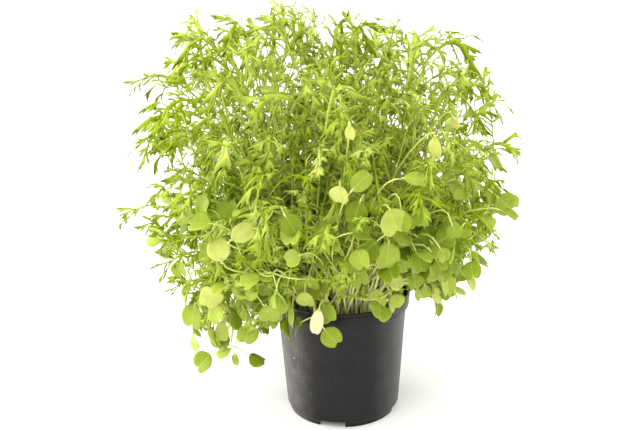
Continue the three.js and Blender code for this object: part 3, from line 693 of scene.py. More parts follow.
# A feathery leaf: its curve, and where its pairs of lobes stand.
def makeFrond(controls, roll, size, draw):
    steps = frondSteps[:, None]
    across = acrossOf(controls[3] - controls[0])
    tangent, side, face = framesAt(controls, steps, across, roll)
    centres = curvePoints(controls, steps)
    pairs = len(lobeKinds)
    chance = np.array([draw() for _ in range(6 * pairs)]).reshape(pairs, 2, 3)
    length, sweep, curl = np.moveaxis(mix(lobeKinds[:, None, :, 0], lobeKinds[:, None, :, 1], chance), -1, 0)
    length = length * size
    sweep = np.radians(sweep)
    way = np.array([1.0, -1.0])[None, :, None]
    edges = centres[:, None] + side[:, None] * (way * strapHalves[:, None, None])
    low, high = edges[1:-1], edges[2:]
    reach = normalised(side[1:-1, None] * (way * np.cos(sweep)[..., None])
                       + tangent[1:-1, None] * np.sin(sweep)[..., None] + face[1:-1, None] * curl[..., None])
    root = low + (high - low) * 0.5
    tips = root + reach * length[..., None]
    near, far = low + (high - low) * 0.15, low + (high - low) * 0.85
    tip = controls[3] + tangent[-1] * (plant["pastEnd"] * size) - face[-1] * plant["tipHang"]
    spine = np.concatenate([controls[0][None], curvePoints(controls, np.array([[0.1]])), centres, tip[None]])
    r = beadRadius
    spineRadii = [r["stalk"]] * 3 + [r["strap"]] * (len(frondSteps) - 2) + [r["tip"]]
    starts = np.concatenate([spine[:-1], near.reshape(-1, 3), far.reshape(-1, 3), root.reshape(-1, 3)])
    halfway = (0.5 * (root + tips)).reshape(-1, 3)
    ends = np.concatenate([spine[1:], tips.reshape(-1, 3), tips.reshape(-1, 3), halfway])
    radii = spineRadii + [r["lobe"]] * (4 * pairs) + [r["lobeRoot"]] * (2 * pairs)
    lobes = [{"root": root[k, n], "tip": tips[k, n], "last": k == pairs - 1, "face": face[k + 1],
              "at": 0.5 * (frondSteps[k + 1] + frondSteps[k + 2])} for k in range(pairs) for n in (0, 1)]
    away = centres[0] - face[0] * plant["petioleKeel"]
    return {"kind": "frond", "controls": controls, "roll": roll, "size": size, "across": across,
            "lobes": lobes, "tip": tip, "away": away, "beads": beadsAlong(starts, ends, radii)}


def makeSeedLeaf(start, along, normal, stalk, width):
    away = unit(along)
    middle = start + away * (0.5 * stalk)
    foot = start + away * stalk + up * (-0.15 * stalk)
    out = unit(foot - middle)
    side = unit(cross(out, normal))
    face = cross(side, out)
    half = width / 2

    def place(u, v, w):
        return foot + side * u + out * v + face * (w - (0.35 * v * v) / width)

    starts, ends = [start], [foot]
    for u in (-0.8, -0.4, 0, 0.4, 0.8):
        far = 0.66 if abs(u) < 0.2 else 0.8
        near = 0.24 if abs(u) > 0.6 else 0.05
        starts.append(place(u * half, near * width, 0))
        ends.append(place(u * half, far * width, 0.1 * half))
    return {"kind": "seedLeaf", "start": start, "middle": middle, "foot": foot, "out": out, "side": side,
            "face": face, "width": width, "away": middle - face * plant["petioleKeel"],
            "beads": beadsAlong(starts, ends, [beadRadius["seedStalk"]] + [beadRadius["seedLeaf"]] * 5)}


def stemRing(centre, frameHere, radius):
    tangent, side, face = frameHere
    return [
        centre + side * (-0.866 * radius) + face * (0.5 * radius),
        centre + side * (0.866 * radius) + face * (0.5 * radius),
        centre - face * radius,
    ]


def makeStem(root, controls, roll):
    across = acrossOf(point(math.cos(root["azimuth"]), math.sin(root["azimuth"]), 0))
    frameHere = frameAt(bezierTangent(controls, 1), across, roll)
    base = stemRing(bezier(controls, 1), frameHere, plant["stemRadius"])
    crown = stemRing(controls[3] + frameHere[0] * plant["jointHeight"], frameHere, -plant["jointRadius"])
    top = [crown[2], crown[0], crown[1]]
    corners = []
    for i in range(3):
        j = (i + 1) % 3
        corners.append([base[i], base[j], top[i]])
        corners.append([base[j], top[j], top[i]])
    corners.append(top)
    faces = []
    for p, q, r in corners:
        faces.append({"centre": (p + q + r) / 3, "normal": unit(cross(q - p, r - p)), "leaf": None})
    spine = curvePoints(controls, np.linspace(0, 1, 13)[:, None])
    return {"controls": controls, "faces": faces, "frame": frameHere,
            "beads": beadsAlong(spine[:-1], spine[1:], [beadRadius["stem"]] * 12)}


kept = {"beads": np.zeros((200000, 4)), "owner": np.zeros(200000, int), "count": 0}

# The leaves stay inside the plant's size. Room that is taken is marked in small cells that hold the number of
# the seedling in them. Between the first seedlings the rest stand closer, and look only there.
boxLow = np.array(cadBox[0]) / mm - 1
boxHigh = np.array(cadBox[1]) / mm + 1
grid = {
    "cell": 1.5,
    "from": np.array([-195.0, -165.0, -6.0]),
    "touches": 4,       # how many beads of a leaf may touch another
    "keptOpen": -2,     # the owner of room that is left free for the eye
    "ownRoom": 7,       # how near its own joint a leaf may touch its seedling
    "fewBeads": 24,     # how many beads are looked at in one go
}
cells = np.zeros((250, 220, 240), np.int16)


# Whether an organ keeps its distance from the others, looked at a few beads at a time.
def clearOfOthers(organ, owner, joint):
    beads = organ["beads"]
    others = kept["beads"][:kept["count"]]
    reach = others[:, 3:] + 3
    span = (others[:, :3] + reach > beads[:, :3].min(0)) & (others[:, :3] - reach < beads[:, :3].max(0))
    close = np.nonzero(span[:, 0] & span[:, 1] & span[:, 2])[0]
    others, reach = others[close], reach[close]
    owners = kept["owner"][close]
    for first in range(0, len(beads), grid["fewBeads"]):
        few = beads[first:first + grid["fewBeads"]]
        span = (others[:, :3] + reach > few[:, :3].min(0)) & (others[:, :3] - reach < few[:, :3].max(0))
        near = np.nonzero(span[:, 0] & span[:, 1] & span[:, 2])[0]
        if len(near) == 0:
            continue
        own = owners[near] == owner
        gap = np.sqrt(((few[:, None, :3] - others[None, near, :3]) ** 2).sum(2))
        room = few[:, None, 3] + others[None, near, 3] + plant["clearance"]
        if (gap < room)[:, ~own].any():
            return False
        if joint is not None and own.any():
            away = np.sqrt(((few[:, :3] - joint) ** 2).sum(1)) > 4
            if (gap[away][:, own] < plant["ownSpace"]).any():
                return False
    return True


def cellsAt(places):
    where = ((places - grid["from"]) / grid["cell"]).astype(int)
    return tuple(np.clip(where, 0, np.array(cells.shape) - 1).T)


def takeCells(beads, owner):
    for radius in np.unique(beads[:, 3]):
        count = math.ceil(radius / grid["cell"])
        offsets = np.stack(np.meshgrid(*[np.arange(-count, count + 1)] * 3), axis=-1)
        offsets = offsets.reshape(-1, 3) * grid["cell"]
        offsets = offsets[np.sqrt((offsets ** 2).sum(1)) <= radius]
        places = beads[beads[:, 3] == radius, None, :3] + offsets
        cells[cellsAt(places.reshape(-1, 3))] = owner + 1


def clearOfCells(organ, owner, joint):
    places = organ["beads"][:, :3]
    if (places.min(0) < boxLow).any() or (places.max(0) > boxHigh).any():
        return False
    found = cells[cellsAt(places)]
    others = (found != 0) & (found != owner + 1)
    if (found == grid["keptOpen"] + 1).any() or others.sum() > grid["touches"]:
        return False
    if joint is None:
        return True
    own = found == owner + 1
    return not (own & (np.sqrt(((places - joint) ** 2).sum(1)) > grid["ownRoom"])).any()


# Whether a leaf's beads keep off the pot, the soil and the ground.
def clearOfPot(organ):
    at = organ["beads"]
    out = np.hypot(at[:, 0], at[:, 1])
    room = at[:, 3] + 0.9
    over = at[:, 2] > plant["soilTop"] + plant["soilBump"] + 1 + at[:, 3]
    beside = (at[:, 2] > pot["height"] + room) | (out > pot["mouthRadius"] + room)
    inside = out < pot["wallTopRadius"] - 2 - room
    return bool(((at[:, 2] >= room) & np.where(inside, over, beside)).all())


def keep(organ, owner):
    n = kept["count"]
    more = len(organ["beads"])
    kept["beads"][n:n + more] = organ["beads"]
    kept["owner"][n:n + more] = owner
    kept["count"] += more
    takeCells(organ["beads"], owner)


def tableAt(table, elevation):
    place = min(max((elevation + 30) / 10, 0), len(table) - 1.001)
    k = math.floor(place)
    return mix(table[k], table[k + 1], place - k)


def blend(x, y, values):
    flat = math.hypot(x, y) or 1
    parts = [max(0, x), max(0, -x), max(0, -y), max(0, y)]
    return sum((p / flat) ** 2 * v for p, v in zip(parts, values))


def reachToward(direction):
    elevation = math.asin(direction[2]) * 180 / math.pi
    return blend(direction[0], direction[1], [tableAt(t, elevation) for t in reachTables])


def lowestAt(x, y):
    return blend(x, y, lowestAngles)


def raised(direction):
    lowest = math.sin(math.radians(lowestAt(direction[0], direction[1]) - 4))
    if direction[2] < lowest:
        return unit(point(direction[0], direction[1], lowest))
    return direction


goldenTurn = math.pi * (3 - math.sqrt(5))
seedlings = []


# The foot of a stem: where it stands in the soil, and the way it leans.
def rootAt(radius, turn, azimuth):
    return {"x": radius * math.cos(turn), "y": radius * math.sin(turn), "azimuth": azimuth}


def stemStart(root, above=0):
    return point(root["x"], root["y"], plant["soilTop"] + (above or plant["stemFoot"]))


def addSeedling(root, controls, direction, leaning, draw, clear=clearOfOthers):
    owner = len(seedlings)
    stem = makeStem(root, controls, math.radians(mix(-60, 60, draw())))
    if not clearOfPot(stem) or not clear(stem, owner, None):
        return False
    keep(stem, owner)
    seedlings.append({"root": root, "stem": stem, "direction": direction, "leaning": leaning,
                      "joint": controls[3], "fronds": 0})
    return True


def growLeaning(joint, draw, attempts=60, clear=clearOfOthers):
    x, y, z = joint
    for attempt in range(attempts):
        azimuth = math.atan2(y, x) + math.radians(mix(-1, 1, draw()) * (4 + attempt * 0.5))
        rootRadius = mix(*plant["leaningRoots"], draw())
        root = rootAt(rootRadius, azimuth, azimuth)
        start = stemStart(root)
        over = point(mix(start[0], x, 0.9), mix(start[1], y, 0.9), max(z + 6, pot["height"] + 23))
        rise = stemStart(root, 24 + attempt * 0.6)
        end = point(x, y, z)
        if addSeedling(root, [start, rise, over, end], unit(end - heart), True, draw, clear):
            return True
    return False


def growUpright(root, rootTurn, share, draw, near, far, attempts=40, clear=clearOfOthers, slant=0):
    for attempt in range(attempts):
        azimuth = rootTurn + plant["leftLean"] * math.sin(rootTurn) + math.radians(mix(-14, 14, draw()))
        lowest = math.sin(math.radians(lowestAt(math.cos(azimuth), math.sin(azimuth)) + 9))
        rise = 1 - (1 - lowest) * math.pow(share, plant["crownBias"])
        flat = math.sqrt(1 - rise * rise)
        direction = point(flat * math.cos(azimuth), flat * math.sin(azimuth), rise)
        distance = mix(near, far, draw()) * reachToward(direction)
        joint = heart + direction * distance
        start = stemStart(root)
        climb = mix(0.3, 0.45, draw()) * distance + attempt * 0.6
        bend = joint + direction * (-0.4 * distance) + up * (0.08 * distance)
        root["azimuth"] = azimuth
        rise = start + (up + direction * (1, 1, 0) * slant) * climb
        if addSeedling(root, [start, rise, bend, joint], direction, False, draw, clear):
            return True
    return False


def frondCurve(seedling, face, tip, droop):
    span = tip - seedling["joint"]
    length = lengthOf(span)
    out = unit(span)
    lean = seedling["stem"]["frame"][0] * 0.4 + out * 0.5
    lean = unit(lean + face["normal"] * 0.25 + up * 0.15)
    flat = point(out[0], out[1], 0)
    second = tip + up * (droop * length) + flat * (-0.12 * length)
    return [face["centre"], face["centre"] + lean * (0.38 * length), second, tip]


def tryLeaf(owner, face, leaf, clear=clearOfOthers):
    outward = dot(unit(leaf["away"] - face["centre"]), face["normal"])
    if outward < 0.3 or not clearOfPot(leaf):
        return False
    if not clear(leaf, owner, seedlings[owner]["joint"]):
        return False
    keep(leaf, owner)
    face["leaf"] = leaf
    seedlings[owner]["fronds"] += leaf["kind"] == "frond"
    return True


sideAngles = [90, 30, -30, -90, -150, 150]
seedLeafFaces = [1, 4]
frondSides = [[0, 5], [2, 3]]
topFace = 6


def faceToward(stem, target):
    faces = stem["faces"]
    tangent, side, face = stem["frame"]
    span = unit(target - faces[topFace]["centre"])
    off = math.acos(min(1, dot(span, tangent)))
    if off < math.radians(16) and not faces[topFace]["leaf"]:
        return topFace
    angle = math.atan2(dot(span, face), dot(span, side)) * 180 / math.pi
    gaps = {k: abs((angle - sideAngles[k] + 540) % 360 - 180) for k in range(6)}
    free = [k for pair in frondSides if all(not faces[k]["leaf"] for k in pair) for k in pair]
    best = min(free, key=lambda k: gaps[k]) if free else -1
    return best if best >= 0 and gaps[best] < 30 else -1


def growSeedLeaves(owner, draw, clear=clearOfOthers, widths=(0.86, 1.08), wind=0.8):
    seedling = seedlings[owner]
    tangent, side, face = seedling["stem"]["frame"]
    for k in seedLeafFaces:
        here = seedling["stem"]["faces"][k]
        for attempt in range(14):
            a = math.radians(sideAngles[k] + mix(-1, 1, draw()) * 16)
            along = side * math.cos(a) + face * math.sin(a)
            along = along + tangent * mix(0.1, 0.5, draw())
            along = along + up * mix(-0.3, 0.1, draw())
            normal = seedling["direction"] + up * mix(0.1, 0.9, draw())
            normal = normal + point(draw() - 0.5, draw() - 0.5, draw() - 0.5) * wind
            width = plant["seedLeafWidth"] * mix(*widths, draw()) * (1 - 0.02 * attempt)
            leaf = makeSeedLeaf(here["centre"], along, normal, mix(9, 20, draw()), width)
            if tryLeaf(owner, here, leaf, clear):
                break


def growFrond(owner, pair, draw, leastFill, attempts):
    seedling = seedlings[owner]
    stem = seedling["stem"]
    for attempt in range(attempts):
        tired = attempt / attempts
        k = pair[0 if draw() < 0.5 else 1] if pair else topFace
        apart = mix(-8, 30, draw()) if k % 3 == 0 else mix(-30, 8, draw())
        turn = math.radians(sideAngles[k] + apart if pair else 12 * apart)
        spread = math.tan(math.radians(mix(6, 36, draw()) if pair else mix(0, 8, draw())))
        toward = seedling["direction"] + stem["frame"][1] * (spread * math.cos(turn))
        toward = unit(toward + stem["frame"][2] * (spread * math.sin(turn)))
        toward = raised(toward)
        fill = mix(leastFill, 1, math.sqrt(draw())) * (1 - plant["shorterBy"] * tired)
        tip = heart + toward * (reachToward(toward) * fill)
        droop = mix(0.12, 0.24, draw()) + 0.26 * math.hypot(toward[0], toward[1]) * draw()
        controls = frondCurve(seedling, stem["faces"][k], tip, droop)
        size = min(plant["largestLeaf"], lengthOf(controls[0] - tip) / plant["fullLeafLength"])
        frond = makeFrond(controls, mix(-1.2, 1.2, draw()), size * (1 - plant["smallerBy"] * tired), draw)
        if tryLeaf(owner, stem["faces"][k], frond):
            return


# The seedlings of the solid model, grown by its own rule and draws.
for joint in leaningJoints:
    growLeaning(joint, draw)
for i in range(plant["uprights"]):
    share = (i + 0.5) / plant["uprights"]
    rootRadius = plant["rootCircle"] * math.sqrt(share)
    rootTurn = i * goldenTurn
    growUpright(rootAt(rootRadius, rootTurn, rootTurn), rootTurn, share, draw, 0.22, 0.46)
for tipPlace in sprigTips:
    target = point(*tipPlace)
    toward = unit(target - heart)
    fits = [-9 if s["leaning"] else dot(s["direction"], toward) - 0.1 * s["fronds"] for s in seedlings]
    nearest = sorted(range(len(seedlings)), key=lambda owner: -fits[owner])[:4]
    for attempt in range(32):
        owner = nearest[attempt % len(nearest)]
        stem = seedlings[owner]["stem"]
        tip = target + point(draw() - 0.5, draw() - 0.5, draw() - 0.5) * (0.8 * attempt)
        k = faceToward(stem, tip)
        droop = mix(0.2, 0.34, draw())
        roll = mix(-0.8, 0.8, draw())
        if k < 0:
            continue
        controls = frondCurve(seedlings[owner], stem["faces"][k], tip, droop)
        if tryLeaf(owner, stem["faces"][k], makeFrond(controls, roll, 1, draw)):
            break
for owner in range(len(seedlings)):
    growSeedLeaves(owner, draw)
for turn in range(3):
    for owner, seedling in enumerate(seedlings):
        which = (turn + owner) % 3
        pair = frondSides[which] if which < 2 else None
        faces = seedling["stem"]["faces"]
        taken = any(faces[k]["leaf"] for k in (pair or [topFace]))
        if taken or (seedling["leaning"] and seedling["joint"][2] < plant["lowJoint"]):
            continue
        growFrond(owner, pair, draw, plant["leastFill"], plant["leafAttempts"])
solidCount = len(seedlings)


def reportGrowth(which):
    kinds = [f["leaf"]["kind"] for s in seedlings for f in s["stem"]["faces"] if f["leaf"]]
    print(which, len(seedlings), "with", kinds.count("frond"), "fronds and", kinds.count("seedLeaf"),
          "seed leaves")


reportGrowth("seedlings of the solid model:")


# Single seed leaves that stand out at the front and hang at the left. In each row: where the blade begins,
# where it ends, its width in millimetres, its tone from deep green to cream, and its notch.
shownLeaves = [
    (32, -104, 205, 39, -108, 187, 21, 0.6, 0.22),
    (32, -92, 176, 31, -96, 156, 18, 0.42, 0.1),
    (32, -66, 120, 17, -62, 118, 16, 0.62, 0.27),
    (-18, -72, 116, -22, -66, 90, 10, 0.97, 0.06),
    (-28, -66, 128, -28, -66, 113, 14, 0.62, 0.12),
    (-25, -60, 138, -29, -62, 120, 20, 0.55, 0.14),
    (-47, -52, 106, -57, -52, 98, 13, 0.5, 0.25),
    (-92, -40, 93, -94, -38, 73, 11, 0.6, 0.05),
    (-88, -30, 64, -100, -30, 58, 8, 0.6, 0.05),
    (-85, -26, 58, -85, -26, 47, 6, 0.3, 0.05),
    (-112, -44, 110, -118, -44, 87, 18, 0.36, 0.22),
    (-105, -38, 100, -105, -38, 82, 8, 0.25, 0.08),
    (-70, -74, 148, -73, -72, 121, 20, 0.45, 0.12),
    (-59, -66, 137, -57, -64, 122, 12, 0.1, 0.12),
    (-78, -96, 182, -60, -96, 193, 14, 0.76, 0.16),
    (-86, -92, 164, -90, -90, 181, 17, 0.72, 0.15),
    (-110, -52, 179, -121, -50, 191, 15, 0.66, 0.18),
    (6, -112, 222, 19, -108, 234, 13, 0.3, 0.12),
    (-2, -108, 224, -4, -110, 211, 14, 0.76, 0.15),
    (42, -100, 226, 63, -96, 224, 11, 0.45, 0.1),
    (87, -60, 206, 86, -60, 193, 13, 0.35, 0.12),
    (102, -42, 163, 113, -40, 175, 13, 0.55, 0.15),
    (31, -76, 147, 44, -74, 132, 12, 0.72, 0.2),
    (74, -52, 140, 61, -54, 132, 13, 0.66, 0.12),
    (62, -44, 122, 65, -44, 110, 8, 0.4, 0.14),
    (69, -42, 120, 74, -42, 104, 8, 0.7, 0.08),
    (80, -50, 254, 80, -50, 242, 11, 0.82, 0.12),
    (64, -88, 251, 64, -88, 234, 10, 0.8, 0.08),
    (5, -120, 270, 5, -120, 259, 7, 0.75, 0.1),
    (-125, -40, 196, -134, -40, 192, 10, 0.6, 0.1),
    (12, -104, 212, 6, -104, 193, 16, 0.05, 0.12),
    (52, -80, 176, 64, -80, 167, 14, 0.1, 0.12),
    (-40, -110, 205, -31, -110, 189, 15, 0.1, 0.12),
    (-30, -92, 168, -42, -92, 163, 13, 0.6, 0.15),
]
shown = []
shownRule = {
    "seed": 411,
    "outlook": (-16.0, -900.0, 498.0),   # the blades face out towards here
    "clearFor": 24,                      # mm before each blade that the leaves grown later keep free
    "overRim": 126,                      # mm, how high a stem passes on its way to a leaf that hangs
}


def growShown():
    draw = drawsFrom(shownRule["seed"])
    outlook = point(*shownRule["outlook"])
    for row in shownLeaves:
        foot, end = point(*row[:3]), point(*row[3:6])
        width, tone, notch = row[6:]
        out = unit(end - foot)
        turn = math.atan2(foot[1], foot[0]) + 0.5 * (draw() - 0.5)
        rootRadius = mix(28, 43, draw())
        root = rootAt(rootRadius, turn, turn)
        start = stemStart(root)
        before = foot - out * mix(14, 24, draw())
        if math.hypot(foot[0], foot[1]) > 50 and foot[2] < 125:
            before = point(mix(start[0], foot[0], 0.85), mix(start[1], foot[1], 0.85),
                           max(foot[2] + 8, shownRule["overRim"]))
        rise = start + up * (0.6 * max(foot[2] - plant["soilTop"], 40))
        facing = unit(outlook - foot) + point(draw() - 0.5, draw() - 0.5, draw() - 0.5) * 0.7
        side = unit(cross(out, facing))
        leaf = {"start": foot - out * 1.5, "middle": foot - out * 0.7, "foot": foot, "out": out, "side": side,
                "face": cross(side, out), "width": width, "notch": notch,
                "long": lengthOf(end - foot) / (0.92 * width), "fold": (0.4, 1.8)}
        shown.append({"root": root, "stem": {"controls": [start, rise, before, foot]}, "leaf": leaf,
                      "tone": tone})
        middle = (foot + end) / 2
        away = unit(outlook - middle)
        reach = np.arange(6, shownRule["clearFor"], 5.0)[:, None]
        beads = np.concatenate([middle + away * reach, np.full((len(reach), 1), 0.42 * width)], axis=1)
        keep({"beads": beads}, grid["keptOpen"])


growShown()


# The seedlings that stand between the solid model's, in millimetres and degrees
thicket = {
    "seed": 907,
    "uprights": 90,
    "rootCircle": 45.0,
    "tries": 30,              # for each leaf
    "fill": (0.6, 1.0),       # how far the leaves go, as a share of the plant's reach that way
    "rise": (0.0, 0.8),       # how much steeper than their stems they stand
    "droop": (0.2, 0.46),     # how far they arch over, in lengths
    "tuck": 0.2,
    "bare": (0.2, 0.62),      # the share of a leaf's length that is bare stalk
    "mouth": ((-30, -62, 98), (44, -28, 124)),   # left open in front, where bare stems and soil show
    "mouthStep": 8.0,
    "mouthDepth": 64.0,
    "leaning": 34,
    "wind": 2.6,              # how far the seed leaves are turned out of their way
    "singlesWind": 3.4,
    "slant": 0.4,             # how far the upright stems set out sideways for each millimetre they climb
    # seed leaves alone on their stems: how many, their turn, how high, how far out, their width and tone
    "singles": [
        (34, (192, 250), (-12, 26), (0.68, 0.94), (14, 20), (0.35, 0.75)),
        (30, (282, 345), (0, 36), (0.7, 0.95), (12, 19), (0.0, 0.3)),
        (36, (258, 322), (16, 46), (0.62, 0.88), (13, 20), (0.0, 0.4)),
        (160, (0, 360), (-20, 48), (0.6, 0.92), (11, 20), (0.0, 0.7)),
    ],
    "singlesLow": 112,        # mm, the lowest that they hang before and behind the pot
    "singlesStalk": 9,
    "singlesRoots": (20, 43),
    "overRim": 128,           # how high a stem passes on its way to a leaf that hangs lower than hangsBelow
    "hangsBelow": 125,
    # how many more stand each way: their turn round the pot and how high they point, and how far they go
    "sprays": [
        (30, (158, 202), (42, 54), 1.1),
        (66, (146, 214), (26, 60), 1.0),
        (8, (-24, 16), (40, 54), 1.0),
        (34, (160, 226), (-6, 28), 1.0),
        (30, (-36, 28), (30, 66), 0.94),
        (24, (-32, 20), (8, 34), 1.0),
        (40, (225, 315), (42, 80), 1.0),
        (30, (60, 120), (25, 70), 1.0),
    ],
}


def growToward(root, direction, distance, draw):
    for attempt in range(12):
        joint = heart + direction * (distance * mix(0.85, 1.15, draw()))
        start = stemStart(root)
        climb = mix(0.3, 0.45, draw()) * distance + attempt * 0.6
        bend = joint - direction * (0.15 * distance) - up * (0.3 * distance)
        rise = start + (up + direction * (1, 1, 0) * thicket["slant"]) * climb
        if addSeedling(root, [start, rise, bend, joint], direction, False, draw, clearOfCells):
            return True
    return False


# A leaf that climbs and then arches over under its own weight.
def growArched(owner, pair, draw):
    t = thicket
    seedling = seedlings[owner]
    stem = seedling["stem"]
    for attempt in range(t["tries"]):
        k = pair[0 if draw() < 0.5 else 1] if pair else topFace
        face = stem["faces"][k]
        turn = math.radians(sideAngles[k] + mix(-30, 30, draw()) if pair else mix(0, 360, draw()))
        spread = math.tan(math.radians(mix(4, 34, draw())))
        toward = seedling["direction"] + stem["frame"][1] * (spread * math.cos(turn)) \
            + stem["frame"][2] * (spread * math.sin(turn))
        toward = raised(unit(toward + up * mix(*t["rise"], draw())))
        tip = heart + toward * (reachToward(toward) * mix(*t["fill"], draw()) * seedling.get("further", 1))
        span = tip - face["centre"]
        length = lengthOf(span)
        lean = unit(stem["frame"][0] * 0.5 + face["normal"] * 0.2 + up * 0.4)
        over = tip + up * (mix(*t["droop"], draw()) * length) - point(span[0], span[1], 0) * t["tuck"]
        size = min(plant["largestLeaf"], length / plant["fullLeafLength"])
        controls = [face["centre"], face["centre"] + lean * (0.4 * length), over, tip]
        frond = makeFrond(controls, mix(-1.2, 1.2, draw()), size, draw)
        frond["bare"] = mix(*t["bare"], draw())
        if tryLeaf(owner, face, frond, clearOfCells):
            return


# Seed leaves on stems of their own, with no later leaf: a skirt of them all round, and more at the front.
def growSingles(draw):
    for count, *kind in thicket["singles"]:
        for _ in range(count):
            growSingle(draw, *kind)


def growSingle(draw, turns, heights, fills, widths, tones):
    t = thicket
    turn = math.radians(mix(*turns, draw()))
    flat = point(math.cos(turn), math.sin(turn), 0)
    elevation = math.radians(max(lowestAt(flat[0], flat[1]) + 3, mix(*heights, draw())))
    direction = unit(flat * math.cos(elevation) + up * math.sin(elevation))
    foot = heart + direction * (reachToward(direction) * mix(*fills, draw()))
    wind = point(draw() - 0.5, draw() - 0.5, draw() - 0.5)
    normal = unit(direction + up * mix(0.1, 1.4, draw()) + wind * t["singlesWind"])
    along = unit(cross(normal, cross(direction * 0.6 - up * mix(-0.6, 0.9, draw()) + wind, normal)))
    stalk = t["singlesStalk"]
    leaf = makeSeedLeaf(foot - along * stalk, along, normal, stalk, mix(*widths, draw()))
    overPot = abs(foot[0]) < 70 and foot[2] < t["singlesLow"]
    if overPot or not clearOfPot(leaf) or not clearOfCells(leaf, 0, None):
        return
    keep(leaf, 0)
    rootRadius = mix(*t["singlesRoots"], draw())
    rootTurn = turn + mix(-0.5, 0.5, draw())
    root = rootAt(rootRadius, rootTurn, turn)
    start = stemStart(root)
    before = leaf["start"] - along * 12
    if leaf["start"][2] < t["hangsBelow"]:
        before = point(mix(start[0], before[0], 0.8), mix(start[1], before[1], 0.8), t["overRim"])
    rise = start + up * (0.6 * max(foot[2] - plant["soilTop"], 40))
    shown.append({"root": root, "stem": {"controls": [start, rise, before, leaf["start"]]}, "leaf": leaf,
                  "tone": mix(*tones, draw())})


def growThicket():
    t = thicket
    draw = drawsFrom(t["seed"])
    for n in range(t["leaning"]):
        turn = math.radians(mix(125, 232, draw()) if n % 3 else mix(-50, 100, draw()))
        flat = point(math.cos(turn), math.sin(turn), 0)
        lowest = lowestAt(flat[0], flat[1])
        elevation = math.radians(mix(lowest + 2, 30, draw()))
        direction = unit(flat * math.cos(elevation) + up * math.sin(elevation))
        joint = heart + direction * (mix(0.45, 0.8, draw()) * reachToward(direction))
        growLeaning(tuple(joint), draw, 30, clearOfCells)
    for count, turns, heights, further in t["sprays"]:
        for _ in range(count):
            turn = math.radians(mix(*turns, draw()))
            elevation = math.radians(mix(*heights, draw()))
            flat = math.cos(elevation)
            direction = point(math.cos(turn) * flat, math.sin(turn) * flat, math.sin(elevation))
            rootRadius = 44 * math.sqrt(draw())
            rootTurn = turn + mix(-0.9, 0.9, draw())
            root = rootAt(rootRadius, rootTurn, turn)
            if growToward(root, direction, mix(0.3, 0.58, draw()) * reachToward(direction), draw):
                seedlings[-1]["further"] = further
    for n in range(t["uprights"]):
        share = (n + 0.5) / t["uprights"]
        rootRadius = t["rootCircle"] * math.sqrt(share) * mix(0.94, 1, draw())
        rootTurn = n * goldenTurn + 1.3
        root = rootAt(rootRadius, rootTurn, rootTurn)
        growUpright(root, rootTurn, share, draw, 0.16, 0.6, 30, clearOfCells, t["slant"])
    step = t["mouthStep"]
    sides = [np.arange(a, b, step) for a, b in zip(*t["mouth"])]
    window = np.stack(np.meshgrid(*sides), axis=-1).reshape(-1, 3)
    outward = unit(point(*shownRule["outlook"]) - point(0, -50, 115))
    window = np.concatenate([window + outward * away for away in np.arange(0, t["mouthDepth"], step)])
    keep({"beads": np.concatenate([window, np.full((len(window), 1), step / 2)], axis=1)}, grid["keptOpen"])
    growSingles(draw)
    for turn in range(3):
        for owner in range(solidCount, len(seedlings)):
            which = (turn + owner) % 3
            growArched(owner, frondSides[which] if which < 2 else None, draw)
    for owner in range(solidCount, len(seedlings)):
        growSeedLeaves(owner, draw, clearOfCells, (0.75, 1.2), t["wind"])


growThicket()
reportGrowth("all seedlings:")


# Shapes modelled once, then copied along every curve. A shape grows up its own z axis from 0 to 1: x is
# across it, y is its thickness, both 1 at their widest. A tooth is drawn out of the side between two rows:
# which gap, which side, how far out and up, and how much it shrinks.
def growShape(name, sides, rows, teeth=()):
    bpy.ops.object.select_all(action="DESELECT")
    bpy.ops.mesh.primitive_circle_add(vertices=sides, radius=1, fill_type="NGON", location=(0, 0, 0))
    item = bpy.context.object
    item.name = name
    bpy.ops.object.mode_set(mode="EDIT")
    bpy.ops.mesh.select_all(action="SELECT")
    height, width, thick = rows[0]
    bpy.ops.transform.resize(value=(width, thick, 1), center_override=(0, 0, 0))
    for nextHeight, nextWidth, nextThick in rows[1:]:
        bpy.ops.mesh.extrude_region_move(TRANSFORM_OT_translate={"value": (0, 0, nextHeight - height)})
        bpy.ops.transform.resize(value=(nextWidth / width, nextThick / thick, 1),
                                 center_override=(0, 0, nextHeight))
        height, width, thick = nextHeight, nextWidth, nextThick
    for gap, way, out, climb, shrink in teeth:
        low, high = rows[gap][0], rows[gap + 1][0]
        bpy.ops.mesh.select_all(action="DESELECT")
        bpy.ops.object.mode_set(mode="OBJECT")
        for face in item.data.polygons:
            face.select = low < face.center.z < high and 0 < face.center.x * way < 1.1
        bpy.ops.object.mode_set(mode="EDIT")
        bpy.ops.mesh.extrude_region_move(TRANSFORM_OT_translate={"value": (way * out, 0, climb)})
        bpy.ops.transform.resize(value=(shrink, shrink, shrink),
                                 center_override=(way * (out + 0.5), 0, (low + high) / 2 + climb))
    bpy.ops.mesh.select_all(action="SELECT")
    bpy.ops.mesh.normals_make_consistent(inside=False)
    bpy.ops.object.mode_set(mode="OBJECT")
    return takeShape(item)


# Keeps a finished shape's points and faces, and takes the object away.
def takeShape(item):
    co = np.array([v.co[:] for v in item.data.vertices], float)
    corners = np.array([i for p in item.data.polygons for i in p.vertices])
    sizes = np.array([len(p.vertices) for p in item.data.polygons])
    bpy.data.objects.remove(item)
    return {"co": co, "corners": corners, "sizes": sizes}


